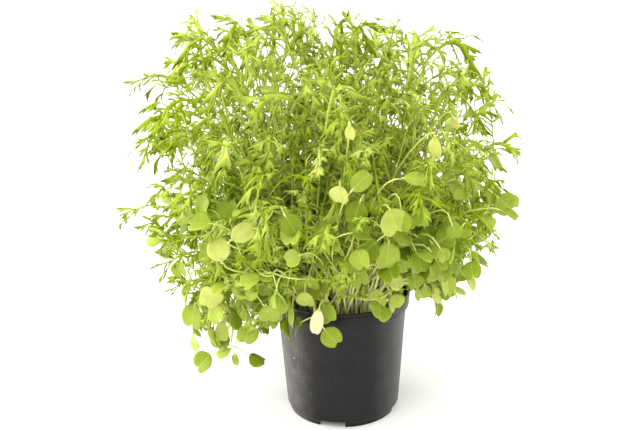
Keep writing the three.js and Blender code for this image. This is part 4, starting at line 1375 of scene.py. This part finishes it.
lobeRows = [(0.0, 0.5, 0.9), (0.35, 0.85, 1.0), (0.68, 1.0, 1.0), (0.9, 0.8, 0.85), (1.0, 0.3, 0.4)]
plainLobe = growShape("plain lobe", 3, lobeRows)
toothedLobe = growShape("toothed lobe", 3, lobeRows, [(1, 1, 2.4, 0.3, 0.5)])
antlerLobe = growShape("antler lobe", 3, lobeRows, [(1, 1, 2.8, 0.32, 0.5), (2, -1, 2.2, 0.26, 0.5)])
spoonRows = [(0.0, 0.62, 0.9), (0.35, 0.7, 1.0), (0.62, 0.95, 1.0), (0.88, 0.9, 0.9), (1.0, 0.35, 0.45)]
spoonEnd = growShape("spoon end", 4, spoonRows, [(1, -1, 1.9, 0.3, 0.45)])
forkedEnd = growShape("forked end", 4, spoonRows, [(1, 1, 2.2, 0.34, 0.45), (2, -1, 1.8, 0.28, 0.45)])
bladeShapes = [plainLobe, toothedLobe, antlerLobe, spoonEnd, forkedEnd]
ribShape = growShape("rib", 4, [(i / 14, 1, 1) for i in range(15)])
stalkShape = growShape("stalk", 4, [(i / 7, 1, 1) for i in range(8)])
stemShape = growShape("stem", 6, [(i / 12, 1, 1) for i in range(13)])


# The seed leaf's plate: rings of a circle, closed to a thin solid. Its outline is drawn when a copy is laid.
def makePlate():
    bpy.ops.object.select_all(action="DESELECT")
    bpy.ops.mesh.primitive_circle_add(vertices=24, radius=1, fill_type="NGON", location=(0, 0, 0))
    item = bpy.context.object
    bpy.ops.object.mode_set(mode="EDIT")
    bpy.ops.mesh.select_all(action="SELECT")
    bpy.ops.mesh.inset(thickness=0.2, use_boundary=True)
    bpy.ops.mesh.inset(thickness=0.35, use_boundary=True)
    bpy.ops.mesh.poke()
    bpy.ops.object.mode_set(mode="OBJECT")
    thick = item.modifiers.new("thickness", "SOLIDIFY")
    thick.thickness = 1
    thick.offset = -1
    applyModifiers(item)
    return takeShape(item)


plateShape = makePlate()
everyShape = bladeShapes + [ribShape, stalkShape, stemShape, plateShape]
print("shapes:", [len(shape["sizes"]) for shape in everyShape], "faces")


# A bundle gathers copies of the shapes, which become one mesh.
def newBundle():
    return {"co": [], "corners": [], "sizes": [], "uv": [], "tone": [], "slot": [], "count": 0}


def addCopies(bundle, shape, co, uv, tones, slot):
    copies, size = co.shape[0], co.shape[1]
    bundle["co"].append(co.reshape(-1, 3))
    bundle["uv"].append(uv.reshape(-1, 2))
    bundle["tone"].append(np.repeat(tones, size))
    bases = bundle["count"] + np.arange(copies) * size
    bundle["corners"].append((bases[:, None] + shape["corners"][None]).ravel())
    bundle["sizes"].append(np.tile(shape["sizes"], copies))
    bundle["slot"].append(np.full(copies * len(shape["sizes"]), slot))
    bundle["count"] += copies * size


def triangleCountOf(bundle):
    return int(sum((sizes - 2).sum() for sizes in bundle["sizes"]))


# Lays copies of a blade along bent paths: start, bend, end and the way it faces, one row for each copy.
def layBlades(bundle, shape, starts, bends, ends, normals, widths, thickness, tones, heights):
    pattern = shape["co"]
    t = pattern[:, 2][None, :, None]
    s = 1 - t
    centre = s * s * starts[:, None] + 2 * s * t * bends[:, None] + t * t * ends[:, None]
    tangent = normalised(s * (bends - starts)[:, None] + t * (ends - bends)[:, None])
    side = normalised(np.cross(tangent, normals[:, None]))
    face = np.cross(side, tangent)
    co = centre + side * (pattern[:, 0][None, :, None] * widths[:, None, None]) \
        + face * (pattern[:, 1][None, :, None] * thickness)
    uv = np.empty((len(starts), len(pattern), 2))
    uv[:, :, 0] = 0.5 + 0.5 * pattern[:, 0][None]
    uv[:, :, 1] = heights[0] + (heights[1] - heights[0]) * pattern[:, 2][None]
    addCopies(bundle, shape, co, uv, tones, 0)


def curveTangents(controls, t):
    s = 1 - t
    return normalised(-s * s * controls[0] + (s * s - 2 * s * t) * controls[1]
                      + (2 * s * t - t * t) * controls[2] + t * t * controls[3])


frondLook = {
    "pairs": [0.36, 0.48, 0.6, 0.72, 0.84],   # where small lobes stand between the large ones
    "lengths": (5.0, 12.0),    # mm, from the lowest pair of small lobes to the highest
    "lobeHalf": (0.5, 0.95),
    "largeHalf": (0.85, 1.4),
    "endHalf": (1.4, 2.1),
    "forward": 0.35,           # how much a large lobe leans along its leaf, in lengths
    "thickness": 0.3,          # half of it
    "bow": 0.55,
    "arch": 0.08,              # how far a lobe rises, leans out and hangs, in lengths
    "lean": 0.05,
    "sag": (0.02, 0.42),
    "ribHalf": (0.6, 2.0),
    "broadShare": 0.28,        # of the leaves are broad straps with few lobes
    "broadHalf": 3.1,
    "outerDeeper": 0.34,       # how much deeper a green the outermost leaves are
    "leafyFrom": 0.45,         # where along the leaf its stalk begins to widen
    "leafyOver": 0.35,
    "endNarrower": 0.45,
    "wave": 0.3,               # mm, how the strap's edge goes in and out
    "stalkThick": 0.55,
    "bladeThinner": 0.25,
    "cup": 0.22,
    "missing": 0.15,           # the share of small lobes that are left out
    "toothless": 0.55,
}


def layFrond(bundle, frond, tone, draw):
    look = frondLook
    bare = frond.get("bare", 0.0)
    controls = frond["controls"]
    size = frond["size"]
    pattern = ribShape["co"]
    heights = pattern[:, 2:3]
    # stalk and rib, up to the end of the curve
    t = heights * 0.995
    tangent = curveTangents(controls, t)
    side = normalised(frond["across"] - tangent * (tangent @ frond["across"])[:, None])
    face = np.cross(side, tangent)
    roll = frond["roll"] * t
    turned = side * np.cos(roll) + face * np.sin(roll)
    face = np.cross(turned, tangent)
    leafy = np.clip((heights - max(look["leafyFrom"], bare)) / look["leafyOver"], 0, 1)
    wave = look["wave"] * np.sin(heights * 47 + tone * 20) * leafy
    broad = draw() < look["broadShare"]
    narrow, wide = look["ribHalf"]
    half = mix(narrow, look["broadHalf"] if broad else wide, leafy ** 1.4)
    half = half * (1 - look["endNarrower"] * np.clip((heights - 0.9) / 0.1, 0, 1)) + wave
    thick = look["stalkThick"] - look["bladeThinner"] * leafy
    cup = look["cup"] * half * pattern[:, 0:1] ** 2 * leafy
    co = curvePoints(controls, t) + turned * (pattern[:, 0:1] * half) + face * (pattern[:, 1:2] * thick + cup)
    uv = np.concatenate([0.5 + 0.5 * pattern[:, 0:1], heights * 0.8], axis=1)
    addCopies(bundle, ribShape, co[None], uv[None], np.array([tone]), 0)

    outward = unit(controls[3] * (1, 1, 0) + 0.001)
    rows = []  # start, bend, end, facing, half width, which shape

    def addLobe(root, tip, normal, half, kind, bow):
        span = tip - root
        length = lengthOf(span)
        bend = root + span * 0.5 + up * (look["arch"] * length) + normal * (bow * length)
        end = tip + (outward * look["lean"] - up * mix(*look["sag"], draw())) * length
        rows.append((root, bend, end, normal, half, kind))

    for lobe in frond["lobes"]:
        if lobe["at"] < bare:
            continue
        half = mix(*look["endHalf" if lobe["last"] else "largeHalf"], draw())
        inner = bezier(controls, lobe["at"])
        root = inner + (lobe["root"] - inner) * 0.35
        normal = unit(lobe["face"] + point(draw() - 0.5, draw() - 0.5, draw() - 0.5) * 1.1)
        kind = (3 if draw() < 0.4 else 4) if lobe["last"] else int(3 * draw() ** 1.3)
        span = lobe["tip"] - root
        if not lobe["last"]:
            lean = bezierTangent(controls, lobe["at"]) * (look["forward"] * lengthOf(span))
            span = (span + lean) * mix(0.4 if broad else 0.5, 0.82, draw())
        end = root + span
        addLobe(root, end, normal, half * min(1, size + 0.2), kind, mix(-1, 0.6, draw()) * look["bow"])
    for t in look["pairs"]:
        if t < bare or broad:
            continue
        tangentHere = bezierTangent(controls, t)
        tangentHere, sideHere, faceHere = frameAt(tangentHere, frond["across"], frond["roll"] * t)
        climb = (t - 0.36) / 0.51
        for way in (1, -1):
            if draw() < look["missing"]:
                continue
            middle = bezier(controls, t + mix(-0.02, 0.02, draw()))
            length = size * mix(*look["lengths"], climb) * mix(0.5, 1.2, draw())
            sweep = math.radians(mix(25, 65, draw()))
            curl = mix(-1.0, 0.5, draw())
            reach = unit(sideHere * (way * math.cos(sweep)) + tangentHere * math.sin(sweep) + faceHere * curl)
            normal = unit(faceHere + point(draw() - 0.5, draw() - 0.5, draw() - 0.5) * 1.4)
            half = mix(*look["lobeHalf"], climb) * mix(0.75, 1.2, draw())
            kind = 0 if climb < 0.3 or draw() < look["toothless"] else 1
            addLobe(middle + sideHere * (way * 0.4), middle + reach * length, normal, half, kind,
                    mix(-1, 0.8, draw()) * look["bow"])
    # the forked end
    tangentHere, sideHere, faceHere = frameAt(bezierTangent(controls, 1), frond["across"], frond["roll"])
    endPoint = bezier(controls, 0.97)
    addLobe(endPoint, frond["tip"] + tangentHere * 0.5, faceHere, mix(*look["endHalf"], draw()), 4,
            mix(-0.25, 0.1, draw()))
    for way in (1, -1):
        aside = sideHere * (way * mix(0.4, 0.9, draw()))
        reach = unit(tangentHere + aside + faceHere * mix(-0.6, 0.3, draw()))
        addLobe(endPoint, endPoint + reach * (size * mix(6, 11, draw())), faceHere, mix(1.2, 1.8, draw()),
                3 if draw() < 0.6 else 0, mix(-0.35, 0.15, draw()))

    kinds = np.array([row[5] for row in rows])
    tones = np.clip(tone + np.array([draw() - 0.5 for _ in rows]) * 0.3, 0, 1)
    columns = [np.array([row[i] for row in rows], float) for i in range(5)]
    for kind, shape in enumerate(bladeShapes):
        pick = kinds == kind
        if pick.any():
            layBlades(bundle, shape, *[column[pick] for column in columns], look["thickness"], tones[pick],
                      (0.55, 1.0) if kind > 2 else (0.5, 0.96))


seedLeafShape = {
    "notch": (0.12, 0.27),     # how deep the leaf is notched, in widths
    "thickness": 0.42,         # mm
    "fold": 0.16,
    "ripple": 0.045,
}


def laySeedLeaf(bundle, leaf, tone, draw):
    look = seedLeafShape
    width = leaf["width"]
    half = width / 2
    # stalk
    pattern = stalkShape["co"]
    t = pattern[:, 2:3]
    s = 1 - t
    sag = leaf["middle"] + leaf["face"] * mix(-0.5, 1.2, draw())
    end = leaf["foot"] + leaf["out"] * 2.5 - leaf["face"] * 0.25
    centre = s * s * leaf["start"] + 2 * s * t * sag + t * t * end
    tangent = normalised(s * (sag - leaf["start"]) + t * (end - sag))
    side = normalised(leaf["side"] - tangent * (tangent @ leaf["side"])[:, None])
    face = np.cross(side, tangent)
    radius = 0.75 - 0.2 * t
    co = centre + side * (pattern[:, 0:1] * radius) + face * (pattern[:, 1:2] * radius * 0.8)
    uv = np.concatenate([0.5 + 0.5 * pattern[:, 0:1], 0.3 + 0.4 * t], axis=1)
    addCopies(bundle, stalkShape, co[None], uv[None], np.array([min(tone, 1)]), 2)
    # blade
    pattern = plateShape["co"]
    angle = np.arctan2(pattern[:, 1], pattern[:, 0])
    ring = np.hypot(pattern[:, 0], pattern[:, 1])
    notch = leaf.get("notch") or mix(*look["notch"], draw())
    off = np.abs((angle - math.pi / 2 + math.pi) % (2 * math.pi) - math.pi)
    down = np.abs((angle + math.pi / 2 + math.pi) % (2 * math.pi) - math.pi)
    outline = 0.5 - notch * np.exp(-(off / 0.3) ** 2) - 0.055 * np.exp(-((down - 0.62) / 0.4) ** 2)
    outline = outline - 0.05 * np.exp(-(down / 0.3) ** 2)
    longer = leaf.get("long") or mix(0.92, 1.08, draw())
    u = ring * outline * np.cos(angle) * width
    v = (0.45 + ring * outline * np.sin(angle)) * width * longer
    bulge = look["ripple"] * width * np.sin(u / half * 3.1 + draw() * 6)
    bulge = bulge * np.sin(v / width * 5 + draw() * 6) * ring
    w = look["fold"] * (u * u) / half * mix(*leaf.get("fold", (0.2, 2.8)), draw()) + bulge
    droop = mix(0.15, 0.6, draw()) * v * v / (width * longer * longer)
    top = leaf["foot"] + leaf["side"] * u[:, None] + leaf["out"] * v[:, None]
    top = top + leaf["face"] * (w - droop)[:, None]
    co = top + leaf["face"] * (pattern[:, 2:3] * look["thickness"])
    uv = np.stack([0.5 + 0.5 * u / half, v / width], axis=1)
    addCopies(bundle, plateShape, co[None], uv[None], np.array([tone]), 1)


def layStem(bundle, seedling, tone, draw, slim=1.0):
    root = seedling["root"]
    controls = seedling["stem"]["controls"]
    pattern = stemShape["co"]
    h = pattern[:, 2:3]
    ground = 0.12  # this share of the rings runs from the hole's foot to the start of the curve
    foot = point(root["x"], root["y"], plant["soilTop"] - plant["holeDepth"] + 0.35)
    t = np.clip((h - ground) / (1 - ground), 0, 1)
    low = np.clip(h / ground, 0, 1)
    centre = np.where(h < ground, foot + (controls[0] - foot) * low, curvePoints(controls, t))
    tangent = np.where(h < ground, up[None], curveTangents(controls, t))
    across = point(-math.sin(root["azimuth"]), math.cos(root["azimuth"]), 0)
    side = normalised(across - tangent * (tangent @ across)[:, None])
    face = np.cross(side, tangent)
    phase = draw() * 6
    wander = np.sin(t * math.pi) * np.sin(t * 9 + phase) * plant["wander"]
    radius = (1.0 - 0.22 * h + 0.35 * np.exp(-((1 - h) / 0.03) ** 2)) * slim
    top = 1 - 0.75 * (h > 0.999)
    lift = (h > 0.999) * plant["jointHeight"] * 0.7
    co = centre + tangent * lift + side * wander + side * (pattern[:, 0:1] * radius * top) \
        + face * (pattern[:, 1:2] * radius * top)
    uv = np.concatenate([0.5 + 0.5 * pattern[:, 0:1], h], axis=1)
    addCopies(bundle, stemShape, co[None], uv[None], np.array([tone]), 2)


def laySeedling(bundle, seedling, draw):
    age = draw()
    layStem(bundle, seedling, age, draw)
    for face in seedling["stem"]["faces"]:
        leaf = face["leaf"]
        if leaf and leaf["kind"] == "frond":
            tip = leaf["controls"][3]
            outer = min(1, max(0, (math.hypot(tip[0], tip[1]) - 85) / 60))
            tone = 0.24 + 0.62 * age + 0.4 * (draw() - 0.5) - frondLook["outerDeeper"] * outer
            layFrond(bundle, leaf, min(1, max(0, tone)), draw)
        elif leaf:
            pick = draw()
            tone = mix(0.05, 0.6, draw()) if pick < 0.93 else mix(0.62, 0.82, draw())
            laySeedLeaf(bundle, leaf, tone, draw)


def finishPiece(name, bundle):
    co = np.concatenate(bundle["co"]) * mm
    corners = np.concatenate(bundle["corners"]).astype(np.int32)
    sizes = np.concatenate(bundle["sizes"]).astype(np.int32)
    mesh = bpy.data.meshes.new(name)
    mesh.vertices.add(len(co))
    mesh.vertices.foreach_set("co", co.astype(np.float32).ravel())
    mesh.loops.add(len(corners))
    mesh.loops.foreach_set("vertex_index", corners)
    mesh.polygons.add(len(sizes))
    mesh.polygons.foreach_set("loop_start", np.cumsum(sizes) - sizes)
    mesh.polygons.foreach_set("use_smooth", np.ones(len(sizes), bool))
    mesh.polygons.foreach_set("material_index", np.concatenate(bundle["slot"]).astype(np.int32))
    mesh.update(calc_edges=True)
    layer = mesh.uv_layers.new(name="leafMap")
    layer.data.foreach_set("uv", np.concatenate(bundle["uv"])[corners].astype(np.float32).ravel())
    tone = mesh.attributes.new("tone", "FLOAT", "POINT")
    tone.data.foreach_set("value", np.concatenate(bundle["tone"]).astype(np.float32))
    for material in (leafMaterial, seedLeafMaterial, stemMaterial):
        mesh.materials.append(material)
    mesh.update()
    item = bpy.data.objects.new(name, mesh)
    scene.collection.objects.link(item)
    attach(item, "root")
    return item


lookDraw = drawsFrom(55)
triangleCount = 0
for number, seedling in enumerate(seedlings[:solidCount], 1):
    bundle = newBundle()
    laySeedling(bundle, seedling, lookDraw)
    piece = finishPiece("mustard_seedling_%02d" % number, bundle)
    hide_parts("seedling_%02d" % number)
    triangleCount += triangleCountOf(bundle)
print("seedlings:", triangleCount, "triangles")

bundle = newBundle()
for seedling in shown:
    layStem(bundle, seedling, lookDraw() * 0.6, lookDraw, 0.72)
    laySeedLeaf(bundle, seedling["leaf"], seedling["tone"], lookDraw)
finishPiece("single_seed_leaves", bundle)
triangleCount += triangleCountOf(bundle)

sectors = 8
for number in range(sectors):
    bundle = newBundle()
    for seedling in seedlings[solidCount:]:
        turn = math.atan2(seedling["root"]["y"], seedling["root"]["x"]) % (2 * math.pi)
        if int(turn / (2 * math.pi) * sectors) == number:
            laySeedling(bundle, seedling, lookDraw)
    finishPiece("thicket_%d" % (number + 1), bundle)
    count = triangleCountOf(bundle)
    triangleCount += count
    print("thicket", number + 1, count, "triangles")
print("foliage:", triangleCount, "triangles")


# The soil and its crumbs, in millimetres
soil = {
    "top": plant["soilTop"],
    "radius": 49.4,
    "footRadius": 44.0,
    "depth": 70,
    "sides": 64,
    "rings": 14,
    "ringStep": 3.2,
    "bump": 1.2,
    "crumbs": 420,
    "crumbSize": (0.7, 2.4),
    "crumbCircle": 48,
    "seed": 31,
}


def buildSoil():
    s = soil
    rnd = np.random.default_rng(s["seed"])
    radius = s["radius"]
    bpy.ops.object.select_all(action="DESELECT")
    bpy.ops.mesh.primitive_cylinder_add(vertices=s["sides"], radius=(radius - 0.4) * mm,
                                        depth=s["depth"] * mm,
                                        location=(0, 0, (s["top"] - s["depth"] / 2) * mm))
    item = bpy.context.object
    item.name = "potting_soil"
    bpy.ops.object.mode_set(mode="EDIT")
    bpy.ops.mesh.select_all(action="DESELECT")
    bpy.ops.object.mode_set(mode="OBJECT")
    for face in item.data.polygons:
        face.select = face.normal.z > 0.9
    bpy.ops.object.mode_set(mode="EDIT")
    for _ in range(s["rings"]):
        bpy.ops.mesh.inset(thickness=s["ringStep"] * mm)
    bpy.ops.mesh.poke()
    bpy.ops.object.mode_set(mode="OBJECT")
    bpy.ops.object.transform_apply(location=True, rotation=True, scale=True)
    foot = s["footRadius"] / radius
    for v in item.data.vertices:
        out = math.hypot(v.co.x, v.co.y) / mm
        if v.co.z > (s["top"] - 1) * mm:
            wave = math.sin(v.co.x / mm * 0.31 + 1) * math.cos(v.co.y / mm * 0.27)
            v.co.z += (wave * 0.8 + rnd.uniform(-1, 1) * s["bump"] * 0.7 + 0.8 - out * 0.02) * mm
        else:
            v.co.x *= foot
            v.co.y *= foot
    bpy.ops.object.shade_smooth_by_angle(angle=math.radians(50))
    item.data.materials.clear()
    item.data.materials.append(soilMaterial)
    return item


def buildCrumbs():
    s = soil
    rnd = np.random.default_rng(s["seed"] + 1)
    bpy.ops.object.select_all(action="DESELECT")
    bpy.ops.mesh.primitive_ico_sphere_add(subdivisions=1, radius=1, location=(0, 0, 0))
    crumb = takeShape(bpy.context.object)
    co = []
    faces = []
    for n in range(s["crumbs"]):
        size = rnd.uniform(*s["crumbSize"]) / 2
        out = s["crumbCircle"] * math.sqrt(rnd.uniform())
        turn = rnd.uniform(0, 2 * math.pi)
        knobbly = crumb["co"] * rnd.uniform(0.6, 1.2, (len(crumb["co"]), 1)) * size * rnd.uniform(0.6, 1.3, 3)
        at = np.array([out * math.cos(turn), out * math.sin(turn), s["top"] + 0.6 + size * 0.3])
        base = n * len(crumb["co"])
        co.append(knobbly + at)
        faces.extend((base + crumb["corners"].reshape(-1, 3)).tolist())
    mesh = bpy.data.meshes.new("soil_crumbs")
    mesh.from_pydata(np.concatenate(co) * mm, [], faces)
    mesh.materials.append(soilMaterial)
    item = bpy.data.objects.new("soil_crumbs", mesh)
    scene.collection.objects.link(item)
    return item


soilPiece = buildSoil()
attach(soilPiece, "root")
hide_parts("soil")
crumbPiece = buildCrumbs()
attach(crumbPiece, "root")
print("soil and crumbs ready")


# The studio
studio = {
    "floorShade": "fbfaf8",
    "floorGlow": 0.1,
    "worldShade": "ffffff",
    "worldStrength": 0.78,
    "skyPower": 2.85,         # the big soft light overhead
    "skyFrom": (-0.3, -0.3, 1.05),
    "skySoftness": 75.0,      # degrees
    "keyPower": 13.0,
    "keyFrom": (-1.1, 0.35, 0.3),
    "rimPower": 9.0,
    "rimFrom": (1.1, 0.45, 0.4),
    "lampSize": 0.8,
    "aim": (0, 0, 0.12),
    "cameraAt": (-0.0158, -0.9, 0.498),
    "cameraPitch": 20.4,
    "cameraRoll": -1.2,
    "lens": 69.58,
}


def buildStudio():
    s = studio
    bpy.ops.object.select_all(action="DESELECT")
    bpy.ops.mesh.primitive_plane_add(size=24, location=(0, 4, 0))
    floor = bpy.context.object
    floor.name = "studio_floor"
    floor.data.transform(floor.matrix_world)
    floor.matrix_world = Matrix.Identity(4)
    # Matt white board, lit faintly from below as on a light table: even and pale, with soft shadows.
    material, tree, shader = newMaterial("matt white board")
    place = addNode(tree, "TexCoord").outputs["Object"]
    mottle = addNode(tree, "TexNoise", values={"Scale": 3.0, "Detail": 2.0},
                     links={"Vector": place}).outputs["Fac"]
    value = addNode(tree, "MapRange", values={"To Min": 0.99, "To Max": 1.01},
                    links={"Value": mottle}).outputs[0]
    shade = addNode(tree, "HueSaturation", values={"Color": colour(s["floorShade"])},
                    links={"Value": value}).outputs[0]
    tree.links.new(shade, shader.inputs["Base Color"])
    shader.inputs["Roughness"].default_value = 0.9
    shader.inputs["Emission Color"].default_value = colour(s["floorShade"])
    shader.inputs["Emission Strength"].default_value = s["floorGlow"]
    floor.data.materials.append(material)

    world = bpy.data.worlds.new("studio")
    scene.world = world
    world.use_nodes = True
    back = world.node_tree.nodes["Background"]
    back.inputs["Color"].default_value = colour(s["worldShade"])
    back.inputs["Strength"].default_value = s["worldStrength"]

    for name, kind, at, power in (("overhead", "SUN", s["skyFrom"], s["skyPower"]),
                                  ("key", "AREA", s["keyFrom"], s["keyPower"]),
                                  ("rim", "AREA", s["rimFrom"], s["rimPower"])):
        data = bpy.data.lights.new(name, kind)
        data.energy = power
        if kind == "SUN":
            data.angle = math.radians(s["skySoftness"])
        else:
            data.size = s["lampSize"]
        light = bpy.data.objects.new(name, data)
        light.location = at
        light.rotation_euler = (Vector(s["aim"]) - Vector(at)).to_track_quat("-Z", "Y").to_euler()
        scene.collection.objects.link(light)

    data = bpy.data.cameras.new("camera")
    data.sensor_width = 36
    data.sensor_fit = "HORIZONTAL"
    data.lens = s["lens"]
    camera = bpy.data.objects.new("camera", data)
    tilt = Matrix.Rotation(math.radians(90 - s["cameraPitch"]), 4, "X")
    roll = Matrix.Rotation(math.radians(s["cameraRoll"]), 4, "Z")
    camera.matrix_world = Matrix.Translation(s["cameraAt"]) @ tilt @ roll
    scene.collection.objects.link(camera)
    scene.camera = camera
    scene.view_settings.view_transform = "Standard"
    scene.view_settings.look = "None"


buildStudio()
print("studio ready")
